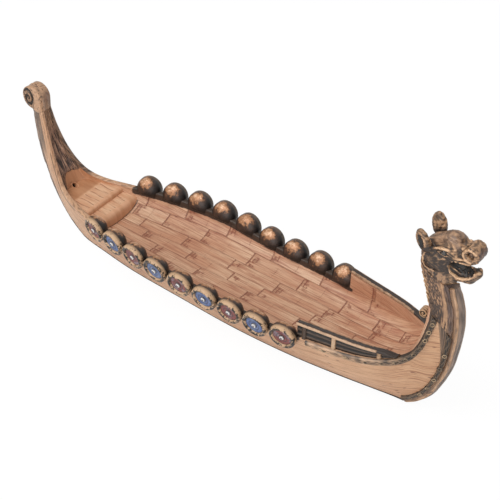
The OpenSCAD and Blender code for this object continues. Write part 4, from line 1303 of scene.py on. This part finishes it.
def rolled(name, centre, radius, width, turns, groove, phase, streaks, eye=(0, 0, 1, 1), corner=0.0):
    """A roll along Y, with a spiral on both faces and streaks round its rim. eye is the spiral's
    middle and half-sizes on the face, and corner fills the roll out towards the post below it."""
    edge = 0.14 * radius
    bend = np.linspace(0.2, 1.45, ROLL_BEND)
    reach = np.r_[np.linspace(0.03, radius - edge, ROLL_FACE), radius - edge + edge * np.sin(bend)]
    drop = np.r_[np.zeros(ROLL_FACE), edge * (1 - np.cos(bend))]
    flat = np.linspace(-1, 1, ROLL_RIM + 2)[1:-1] * (width / 2 - edge)
    r = np.r_[reach, np.full(ROLL_RIM, radius), reach[::-1]][:, None]
    y = np.r_[-width / 2 + drop, flat, (width / 2 - drop)[::-1]][:, None]
    angle = np.linspace(0, 2 * np.pi, 120, endpoint=False)[None]
    a = (r * np.cos(angle) - eye[0]) / eye[2]
    b = (r * np.sin(angle) - eye[1]) / eye[3]
    out = np.hypot(a, b) / (radius if eye[2] == 1 else 1)
    uneven = 0.5 * np.sin(1.9 * a + 2.6 * b) + 0.3 * np.sin(4.1 * b - 3.3 * a)
    ridge = fade(np.cos(out * turns * 2 * np.pi - np.arctan2(b, a) + phase + uneven), -0.5, 0.5)
    within = fade(out, 1.08, 0.96)
    face = np.r_[np.ones(ROLL_FACE), np.linspace(1, 0, ROLL_BEND), np.zeros(ROLL_RIM // 2)]
    face = np.r_[face, face[::-1]][:, None]
    sink = groove * face * (1 - ridge) * fade(out, 0.05, 0.2) * within
    band = (1 - face) * (0.5 + 0.5 * np.sin(y * streaks + 0.7 * np.sin(angle * 3)))
    turn = np.degrees(angle) - 360 * (angle > np.pi)
    fill = 1 / np.cos(np.radians(np.clip(-turn, 0, 45))) - 1
    fill = corner * fill * fade(turn, -95, -55) * (turn < 0) * (r / radius) ** 4
    high = r * (1 + fill) - groove * 0.35 * (1 - band) * (1 - face)
    rings = np.stack([high * np.cos(angle), y - np.sign(y) * sink + 0 * angle, high * np.sin(angle)], -1)
    raised = face * (ridge * 0.8 * within + 0.9 * (1 - within)) + (1 - face) * (0.35 + 0.5 * band)
    far = fade(y + 0 * angle, -0.3 * width, 0.05 * width) * fade(turn, -110, -80) * fade(turn, 60, 10)
    return turned(name, np.asarray(centre) + rings, face=face * within, far=far,
                  raised=np.clip(raised, 0, 1))


def scroll_build(w):
    """Old bronze, dark in the spiral, with a spotted top lightened where it faces up as a painted
    highlight.
    """
    out = bronze("#2a201a", "#6d5342", "#b68c6b", "#dcb08c")(w)
    face = w.mark("face")
    grit = w.grit(0.45, 4.0, 0.6)
    fine = w.noise(w.object_mm(1.3, 1.3, 0.7), 3.0, 0.6)
    streak = w.noise(w.object_mm(0.5, 1.6, 0.16), 3.0, 0.6)
    # Painted highlight: the rim goes light tan where it faces up.
    top = (w.mark("lift") * 0.5 + 0.5 + (grit - 0.5) * 1.2).step(0.25, 0.7) * (1.0 - face)
    colour = (face * 0.8 * fine.step(0.36, 0.6)).mix(out["Base Color"], "#33281f")
    colour = (top * 0.8).mix(colour, "#c69d7c")
    spots = (grit * 0.5 + fine * 0.5).step(0.52, 0.6) * top
    colour = (spots * 0.75).mix(colour, "#4e372a")
    bronze_side = streak.step(0.4, 0.62).mix("#3d3029", "#9b7864")
    far = w.mark("far") * (0.6 + streak * 0.5).step(0.7, 0.9)
    out["Base Color"] = (far * 0.9).mix(colour, bronze_side)
    return out


SCROLL_BRONZE = finish_of("scroll bronze", scroll_build, coat=0.2, relief=0.14)
scroll = rolled("scroll", [-115.4, 0, 71.2], 6.1, 7.4, 1.6, 0.8, 2.4, 1.9,
                eye=(-1.9, -0.3, 3.9, 5.3), corner=1.0)
# lift: how far each point faces up, used for the painted highlight on the top.
lift_mark(scroll, [0.5, -0.15, 0.85])
fit(scroll, "antique_bronze", "stern_scroll", finish=SCROLL_BRONZE)
curl_build = bronze("#3a2b1f", "#7a5d45", "#bd9670", "#e0bd98")
CURL_GOLD = finish_of("curl gold", curl_build, coat=0.2, relief=0.1)
curl = rolled("mane_curl.detail", [102.8, 0, 53.6], 2.2, 3.6, 1.6, 0.5, 0.8, 6.0)
fit(curl, "worn_gold", "mane_curl", finish=CURL_GOLD)

# ---- Neck ------------------------------------------------------------------------------------
# The neck rises out of the stem. Its sides carry scales towards the back, a gold stripe up the
# middle and dark streaks in front. Five gold ridges cross its back.
NECK_T = np.linspace(0, 1, 44)
NECK_P = np.linspace(0.93, 0, 22)
rows = even_rows(ROW_NECK, ROW_THROAT, 0.3)
halves = []
for side in (-1, 1):
    outer = outside(rows, NECK_T, np.full(44, side))
    inner = inside(rows, NECK_P * side)
    halves.append(np.concatenate([outer, inner], 1))
ring = np.concatenate([halves[1], halves[0][:, -2:0:-1]], 1)
t_part = np.r_[NECK_T, np.ones(22)]
p_part = np.r_[np.ones(44), NECK_P]


def both_sides(values):
    """Values for one half of the neck's ring, used on both halves."""
    return np.r_[values, values[-2:0:-1]]


ridge = 0.85 * np.exp(-((t_part - 0.42) / 0.14) ** 2) * (p_part > 0.99)
scaly = fade(t_part, 0.55, 0.68) * fade(p_part, 0.2, 0.4)
girth = np.r_[0, np.cumsum(np.linalg.norm(np.diff(halves[0][0], axis=0), axis=1))]
girth = np.concatenate([girth, -girth[-2:0:-1]])
flat = np.ones((len(rows), 1))
shown = fade(rows, ROW_NECK, ROW_NECK + 0.05)[:, None] * np.ones((1, ring.shape[1]))
neck = turned("neck.detail", ring, shown=shown, scaly=flat * both_sides(scaly),
              ridge=fade(rows, 17.15, 17.5)[:, None] * both_sides(ridge),
              front=flat * both_sides(1 - fade(t_part, 0.2, 0.38)),
              foot=fade(rows, 18.1, 17.5)[:, None] * both_sides(fade(t_part, 0.5, 0.62)),
              grain=np.stack([np.repeat(mile(rows)[:, None], ring.shape[1], 1), flat * girth,
                              flat * np.where(girth < 0, 4.0, 1.0)], -1))


def neck_build(w):
    """Old bronze, streaked purple-brown in front and darker at the foot of the back."""
    out = bronze("#2e231c", "#5c473b", "#a88264", "#d6ab83")(w)
    along, around, shift = w.marks("grain")
    front = w.mark("front")
    streak = w.noise(w.spot(along * 0.12, around * 1.4, shift), 3.0, 0.6)
    purple = streak.step(0.35, 0.65).mix("#43342f", "#77625b")
    colour = (front * 0.8).mix(out["Base Color"], purple)
    old = w.mark("foot") * (1.0 - front) * (streak.step(0.62, 0.4) * 0.35 + 0.65)
    out["Base Color"] = (old * 0.8).mix(colour, "#382b24")
    return out


NECK_BRONZE = finish_of("neck bronze", neck_build, coat=0.2, relief=0.14)
neck = grow(neck, STREAKS, Depth=0.6, Length=6.0, Width=1.1, Cell=2.1, Finish=NECK_BRONZE)
fit(neck, "antique_bronze", "neck")
ridges = []
for u in np.arange(ROW_NECK + 0.1, ROW_THROAT - 0.5, 0.3):
    rows = np.linspace(u, u + 0.14, 13)
    p = np.linspace(-0.7, 0.7, 57)
    back = inside(rows, p)
    core = (outside(rows, [0], 0) + inside(rows, [0])) / 2
    arch = np.sin(np.linspace(0.05, 0.95, 13) * np.pi)[:, None] ** 0.6
    high = 0.2 + 1.05 * arch * (0.78 + 0.22 * np.cos(p * 24 + u * 9))[None]
    high *= (1 - 0.55 * (np.abs(p) / 0.7) ** 6)[None]
    out = unit(back - core)
    raised = 0.2 + 0.8 * arch * np.ones((1, len(p)))
    ridges.append(slab("ridge", back + out * high[..., None], back - out * 0.3, raised=raised))
fit(joined("back_ridges", ridges), "worn_gold", "neck_ridges", finish=CURL_GOLD)

# ---- Head ------------------------------------------------------------------------------------
# The dragon's head: skull, brows, jaws, curled nose and ears, cast in one with the neck. Its
# shape is built up from rounded forms, and its skin is drawn over them by one even net of cells.
STEP = 0.26
LOW = np.array([92.0, 0.0, 69.0])
CELLS = (142, 46, 138)
MIDDLE = 2
PROBE = 0.9


def ball(at, centre, radii):
    """Signed distance to an ellipsoid."""
    q = (at - centre) / radii
    k = np.linalg.norm(q, axis=-1)
    return k * (k - 1) / np.maximum(np.linalg.norm(q / radii, axis=-1), 1e-6)


def rod(at, a, b, ra, rb):
    """Signed distance to a rod from a to b that changes in radius."""
    a = np.asarray(a, float)
    b = np.asarray(b, float)
    h = np.clip((at - a) @ (b - a) / np.dot(b - a, b - a), 0, 1)
    return np.linalg.norm(at - a - h[..., None] * (b - a), axis=-1) - (ra + (rb - ra) * h)


def chain(at, points, radii):
    """Signed distance to rods end to end through the points, with a radius at each."""
    radii = np.broadcast_to(radii, len(points))
    runs = [rod(at, p, q, r, s) for p, q, r, s in zip(points, points[1:], radii, radii[1:])]
    return np.minimum.reduce(runs)


def blend(a, b, k):
    """Union of two distances, with a fillet of size k."""
    h = np.clip(0.5 + 0.5 * (b - a) / k, 0, 1)
    return b + (a - b) * h - k * h * (1 - h)


def carve(a, b, k):
    """Takes b out of a, with edges rounded by k."""
    return -blend(-a, b, k)


def roll(at, centre, radius, half, edge):
    """Signed distance to a short round bar along Y with rounded edges."""
    out = np.hypot(at[..., 0] - centre[0], at[..., 2] - centre[2]) - (radius - edge)
    side = np.abs(at[..., 1] - centre[1]) - (half - edge)
    beyond = np.hypot(np.maximum(out, 0), np.maximum(side, 0))
    return np.minimum(np.maximum(out, side), 0) + beyond - edge


def leaf(at, centre, up, out, radii):
    """Signed distance to an ellipsoid whose long way is up, and whose thin way is out."""
    up = unit(np.asarray(up, float))
    out = unit(np.asarray(out, float) - np.dot(out, up) * up)
    turned_to = np.stack([up, out, np.cross(up, out)], -1)
    return ball((at - centre) @ turned_to, 0, np.asarray(radii))


NOSE_CURL = [[120 + 2.9 * math.cos(a), 3.85, 94.2 + 2.9 * math.sin(a)]
             for a in np.radians(np.arange(40, 286, 24))]
NOSE = [(blend, rod, [115.5, 0, 91.4], [118.8, 0, 93.2], 2.6, 3.0, 0.6),
        (blend, rod, [116.5, 3.2, 96.1], [117.4, 3.6, 97.2], 0.7, 0.6, 0.5),
        (blend, chain, NOSE_CURL, 0.5, 0.4),
        (carve, rod, [120.0, 3.0, 94.2], [120.0, 5.0, 94.2], 1.5, 1.9, 0.5)]
SKULL = [(blend, ball, [111.4, 0, 93.3], [6.4, 5.2, 6.4], 2.2),
         (blend, ball, [106.3, 0, 91.2], [5.6, 5.0, 4.8], 2.0),
         (blend, ball, [105.6, 2.4, 85.8], [6.3, 3.7, 5.9], 1.2),
         (blend, ball, [105.2, 0, 78.6], [6.9, 4.5, 6.4], 1.5),
         (blend, rod, [107.5, 0, 75.0], [112.0, 0, 77.6], 4.0, 3.0, 1.5),
         (blend, rod, [112, 0, 90.4], [118.4, 0, 90.6], 4.6, 3.0, 1.6)]
JAWS = [(carve, rod, [116.7, -6.0, 98.3], [116.7, 6.0, 98.1], 1.7, 1.9, 0.5),
        (blend, chain, [[107.5, 0, 81], [113.9, 0, 80.8], [119.6, 0, 81.4], [122.6, 0, 84.6]],
         [4.0, 3.4, 2.9, 2.1], 1.4),
        (blend, ball, [114.4, 0, 86.4], [7.0, 3.4, 5.0], 1.2),
        (blend, chain, [[112.4, 4.2, 85.9], [113.7, 4.4, 88.1], [117.0, 3.9, 89.6], [119.9, 3.1, 89.9],
                        [121.6, 1.2, 90.6]], 0.62, 0.7),
        (blend, chain, [[112.4, 4.2, 85.9], [113.5, 4.6, 83.6], [116.6, 4.5, 82.2], [119.7, 3.9, 82.8],
                        [122.5, 2.6, 84.8], [123.5, 0.6, 86.1]], 0.72, 0.7),
        (carve, ball, [117.3, 5.0, 86.1], [5.3, 4.9, 3.3], 0.5),
        (carve, ball, [122.0, 0, 88.0], [4.0, 2.6, 1.8], 0.6),
        (blend, rod, [121.0, 3.8, 83.4], [121.2, 3.2, 84.8], 0.34, 0.24, 0.3),
        (blend, rod, [122.0, 2.9, 84.4], [122.2, 2.3, 85.8], 0.34, 0.24, 0.3)]
BROW = [(carve, ball, [109.8, 6.3, 91.6], [2.8, 1.6, 1.5], 0.6),
        (blend, chain, [[103.4, 5.0, 91.6], [106.0, 5.5, 92.7], [108.6, 5.6, 93.7], [111.6, 5.0, 93.9],
                        [113.6, 4.4, 92.4]], [0.35, 0.45, 0.5, 0.5, 0.35], 0.6),
        (blend, chain, [[106.9, 5.2, 91.6], [108.5, 5.5, 92.4], [110.6, 5.3, 92.5], [112.3, 4.8, 91.5]],
         0.22, 0.4),
        (blend, chain, [[106.9, 5.2, 91.6], [108.6, 5.5, 90.8], [110.7, 5.3, 90.7], [112.3, 4.8, 91.5]],
         0.24, 0.4),
        (blend, ball, [109.7, 4.7, 91.6], [1.5, 0.7, 0.9], 0.2),
        (blend, chain, [[106.0, 5.4, 89.2], [108.4, 5.5, 88.4], [110.6, 5.1, 88.9]],
         [0.2, 0.35, 0.2], 0.6),
        (blend, chain, [[112.6, 4.2, 96.4], [114.4, 4.3, 94.4], [114.8, 4.4, 92.0]],
         [0.3, 0.4, 0.3], 0.5),
        (blend, chain, [[113.0, 4.4, 91.2], [115.4, 4.4, 90.9], [117.9, 3.8, 91.4]],
         [0.3, 0.45, 0.35], 0.6),
        (blend, chain, [[102.6, 5.0, 90.4], [101.5, 5.2, 88.3], [101.0, 5.4, 85.9], [101.2, 5.5, 83.8],
                        [102.4, 5.6, 82.0], [104.4, 5.6, 81.2], [106.6, 5.5, 81.4]], 0.36, 0.3),
        (carve, chain, [[103.8, 6.2, 89.6], [102.6, 6.4, 87.6], [102.3, 6.6, 85.6], [102.8, 6.8, 83.9],
                        [104.3, 6.8, 82.8], [106.2, 6.8, 83.0]], 0.8, 0.6)]
EAR = [(carve, leaf, [100.0, 8.5, 94.4], [-0.24, 0.1, 0.95], [-0.25, 0.95, 0.0], [4.0, 1.6, 1.9], 0.4),
       (blend, rod, [103.6, 5.2, 90.8], [103.0, 6.0, 94.6], 1.6, 0.9, 0.8)]


def shaped(d, at, forms):
    """A distance with forms added or taken away in turn. Each form ends with its fillet."""
    for join, form, *sizes, fillet in forms:
        d = join(d, form(at, *sizes), fillet)
    return d


def head_distance(at):
    """Distance to the head's skin. at holds points with y folded to one side."""
    d = shaped(ball(at, [105.7, 0, 86.2], [7.9, 5.6, 7.6]), at, SKULL)
    d = blend(d, shaped(roll(at, [120.0, 0, 94.2], 3.95, 3.8, 0.9), at, NOSE), 0.5)
    d = shaped(d, at, JAWS + BROW)
    ear = leaf(at, [100.7, 6.4, 94.6], [-0.28, 0.1, 0.95], [-0.25, 0.95, 0.0], [5.6, 1.9, 3.2])
    d = blend(d, shaped(ear, at, EAR), 1.0)
    x, y, z = np.moveaxis(at, -1, 0)
    folds = np.sin(x * 2.1 + 3 * np.sin(z * 0.9)) * np.sin(z * 2.4 + 2 * np.sin(y * 1.3 + x * 0.5))
    return d + 0.1 * folds


def netted(field, low, step):
    """Points and faces of the skin where a field on a grid changes sign."""
    cells = np.array(field.shape) - 1
    total = np.zeros((*cells, 3))
    count = np.zeros(cells)
    crossings = []
    for axis in range(3):
        first = np.moveaxis(field, axis, 0)[:-1]
        second = np.moveaxis(field, axis, 0)[1:]
        hit = np.argwhere(np.moveaxis((first < 0) != (second < 0), 0, axis))
        f0 = field[tuple(hit.T)]
        far = hit.copy()
        far[:, axis] += 1
        f1 = field[tuple(far.T)]
        place = hit.astype(float)
        place[:, axis] += f0 / (f0 - f1)
        b, c = [(1, 2), (2, 0), (0, 1)][axis]
        around = []
        for db, dc in ((-1, -1), (0, -1), (0, 0), (-1, 0)):
            cell = hit.copy()
            cell[:, b] += db
            cell[:, c] += dc
            around.append(cell)
            np.add.at(total, tuple(cell.T), place)
            np.add.at(count, tuple(cell.T), 1)
        crossings.append((around, f0 < 0))
    used = count > 0
    index = np.full(cells, -1)
    index[used] = np.arange(used.sum())
    points = low + step * total[used] / count[used][:, None]
    faces = []
    for around, starts_in in crossings:
        quad = np.stack([index[tuple(cell.T)] for cell in around], -1)
        faces.append(np.where(starts_in[:, None], quad, quad[:, ::-1]))
    return points, np.concatenate(faces)


def folded(at):
    """Points moved to the port side, as the head is the same on both sides."""
    return np.stack([at[..., 0], np.abs(at[..., 1]), at[..., 2]], -1)


axes = [LOW[i] + STEP * (np.arange(n) - (MIDDLE if i == 1 else 0)) for i, n in enumerate(CELLS)]
place = np.stack(np.meshgrid(*axes, indexing="ij"), -1)
half = head_distance(folded(place))
field = np.concatenate([half[:, :MIDDLE:-1], half[:, MIDDLE:]], 1)
low = np.array([LOW[0], -STEP * (CELLS[1] - 1 - MIDDLE), LOW[2]])
points, quads = netted(field, low, STEP)
slope = np.stack([head_distance(folded(points + d)) - head_distance(folded(points - d))
                  for d in np.eye(3) * 0.05], -1)
normal = unit(slope)
humps = (head_distance(folded(points - normal * PROBE)) + PROBE) / PROBE
hollows = (PROBE - head_distance(folded(points + normal * PROBE))) / PROBE
raised = np.clip(0.42 + 1.1 * humps - 1.5 * hollows, 0, 1)
one_side = folded(points)
x, y, z = one_side.T
mouth = -np.minimum(ball(one_side, [117.4, 4.2, 86.3], np.array([5.4, 5.0, 3.5])),
                    ball(one_side, [122.0, 0, 88.0], np.array([4.2, 3.0, 2.0])))
mouth = np.maximum(fade(mouth, -0.1, 0.3) * fade(raised, 0.95, 0.7), fade(mouth, 0.3, 0.7))
hollow_ear = -leaf(one_side, [100.0, 8.4, 94.3], [-0.24, 0.1, 0.95], [-0.25, 0.95, 0.0], [3.9, 1.9, 1.7])
snout = fade(-roll(one_side, [120.2, 0, 94.0], 4.6, 4.6, 0.6), -0.3, 0.2)
snout *= fade(normal[:, 2], 0.85, 0.5) * fade(x, 118.2, 120.4) * fade(y, 3.6, 3.2)
cheek = fade(x, 100.8, 102.4) * fade(x, 113.2, 111.6) * fade(z, 80.5, 81.8)
HEAD_MARKS = {
    "raised": raised,
    # lift: how far the skin faces up, used for a painted highlight.
    "lift": normal @ unit(np.array([0.1, 0, 1.0])),
    "deep": np.clip(mouth + fade(hollow_ear, -0.2, 0.2), 0, 1),
    "crown": fade(z, 92.5, 95.5) * fade(y, 5.0, 3.8) * fade(x, 101, 104) * fade(x, 116.5, 114.5),
    "cheek": cheek * fade(z, 93.6, 92.4) * fade(y, 2.5, 3.8),
    "throat": fade(z, 81.2, 79.8) * fade(x, 112.5, 110.5),
    "ear": fade(z, 93.8, 95.5) * fade(x, 105.0, 103.5),
    "snout": snout}


def head_build(w):
    """Old bronze, rubbed to gold on what stands up and darkened in mouth, ears and hollows; skin that
    faces up is lighter, a painted highlight.
    """
    grit = w.grit(0.6, 4.0, 0.65)
    patch = w.grit(0.2, 2.0)
    speck = w.grit(1.3, 3.0, 0.6)
    level = w.mark("raised") + (grit - 0.5) * 0.9 + (speck - 0.5) * 0.5 + (patch - 0.5) * 0.5
    # Painted highlight: skin that faces up is pushed towards gold.
    level = level + w.mark("lift") * 0.16 - w.mark("cheek") * 0.3 + w.mark("ear") * 0.22
    colour = level.step(0.1, 0.45).mix("#32241c", "#735840")
    colour = level.step(0.46, 0.74).mix(colour, "#b48c6a")
    colour = (level.step(0.82, 1.12) * 0.85).mix(colour, "#e6bd95")
    streak = w.noise(w.object_mm(0.14, 0.5, 0.5), 4.0, 0.65)
    sheen = streak.step(0.4, 0.62).mix("#5a453b", "#b58f72")
    colour = (w.mark("crown") * 0.6).mix(colour, sheen)
    front = grit.step(0.4, 0.66).mix("#44322f", "#8a6a58")
    colour = (w.mark("snout") * 0.85).mix(colour, front)
    folds = w.noise(w.object_mm(0.55, 0.55, 0.3), 3.0, 0.6)
    folds = folds.step(0.44, 0.58).mix("#43342b", "#b18a6a")
    colour = (w.mark("throat") * 0.85).mix(colour, folds)
    colour = w.mark("deep").mix(colour, "#17120f")
    return {"Base Color": colour, "Roughness": 0.34 + grit * 0.25,
            "Metallic": level.step(0.5, 0.9) * 0.2, "Height": grit}


HEAD_BRONZE = finish_of("head bronze", head_build, coat=0.25, relief=0.14)
head = mesh_of("dragon_head", points, [quads], **HEAD_MARKS)
fit(head, "antique_bronze", "dragon_skull", "upper_jaw", "lower_jaw", "snout_curl", "ear_starboard",
    "ear_port", finish=HEAD_BRONZE)


def eye_build(w):
    """Glossy black with a brown cast."""
    grit = w.grit(0.9, 2.0)
    return {"Base Color": grit.step(0.45, 0.7).mix("#120e0c", "#4b423c"), "Height": grit}


angle = np.radians(np.linspace(-88, 88, 19))
eye = turned("eye", lathe(np.stack([1.45 * np.cos(angle), 1.45 * np.sin(angle)], -1), 28))
spots = [([109.7, side * 4.75, 92.0], [0.2, side * 0.98, 0.0]) for side in SIDES.values()]
EYE_BLACK = finish_of("eye black", eye_build, roughness=0.2, coat=0.5, relief=0.02)
fit(placed("dragon_eyes", eye, spots, EYE_BLACK), "black_paint", "eyes")

# ---- Floor, lamps and camera -----------------------------------------------------------------
# A plain pale table under soft studio light. The table shows white to the camera and to gloss,
# and keeps a faint shadow of the boat.
floor_mesh = bpy.data.meshes.new("floor")
floor_mesh.from_pydata([(-3, -3, 0), (3, -3, 0), (3, 3, 0), (-3, 3, 0)], [], [(0, 1, 2, 3)])
held("floor", floor_mesh)


def seen_white(w, in_gloss):
    """1 where the camera looks straight at it, and in_gloss where a glossy surface reflects it."""
    camera_ray = w.add("ShaderNodeLightPath", out=0)
    gloss_ray = w.add("ShaderNodeLightPath", out=3)
    return camera_ray.math("MAXIMUM", gloss_ray * in_gloss)


pale = bpy.data.materials.new("pale table")
pale.use_nodes = True
w = Wire(pale.node_tree)
shader = pale.node_tree.nodes["Principled BSDF"]
shader.inputs["Base Color"].default_value = (0.9, 0.9, 0.9, 1)
shader.inputs["Roughness"].default_value = 0.9
lit = Wire(pale.node_tree, shader.outputs[0])
glow = w.add("ShaderNodeEmission", {"Color": (1, 1, 1, 1), "Strength": 1.03})
table_top = w.add("ShaderNodeMixShader", {0: seen_white(w, 0.3) * 0.92, 1: lit, 2: glow})
ending = pale.node_tree.nodes["Material Output"].inputs["Surface"]
pale.node_tree.links.new(table_top.socket, ending)
floor_mesh.materials.append(pale)

world = bpy.data.worlds.new("studio")
bpy.context.scene.world = world
world.use_nodes = True
sky = world.node_tree.nodes["Background"]
sky.inputs["Color"].default_value = (1, 1, 1, 1)
strength = seen_white(Wire(world.node_tree), 0.15) * 0.62 + 0.38
world.node_tree.links.new(strength.socket, sky.inputs["Strength"])


def aimed(item, place, aim):
    """Puts a lamp or the camera at place, turned to look at aim."""
    item.location = place
    item.rotation_euler = (Vector(aim) - item.location).to_track_quat("-Z", "Y").to_euler()
    bpy.context.scene.collection.objects.link(item)


def lamp(name, place, aim, size, watts):
    """A soft square lamp."""
    light = bpy.data.lights.new(name, "AREA")
    light.size = size
    light.energy = watts
    aimed(bpy.data.objects.new(name, light), place, aim)


lamp("key lamp", (-0.25, -0.45, 0.95), (0, 0, 0.03), 0.7, 6.0)
lamp("fill lamp", (0.4, -0.85, 0.35), (0.02, 0, 0.04), 0.8, 3.2)
lamp("back lamp", (0.1, 0.8, 0.7), (0, 0, 0.03), 0.8, 1.0)

camera_data = bpy.data.cameras.new("camera")
camera_data.sensor_width = 36
camera_data.lens = 95.32
camera_data.shift_x = 0.0694
camera_data.shift_y = 0.006
camera = bpy.data.objects.new("camera", camera_data)
aimed(camera, (0.28109, -0.36945, 0.42173), (-0.00667, 0, 0.0284))
bpy.context.scene.camera = camera
bpy.context.scene.view_settings.view_transform = "Standard"
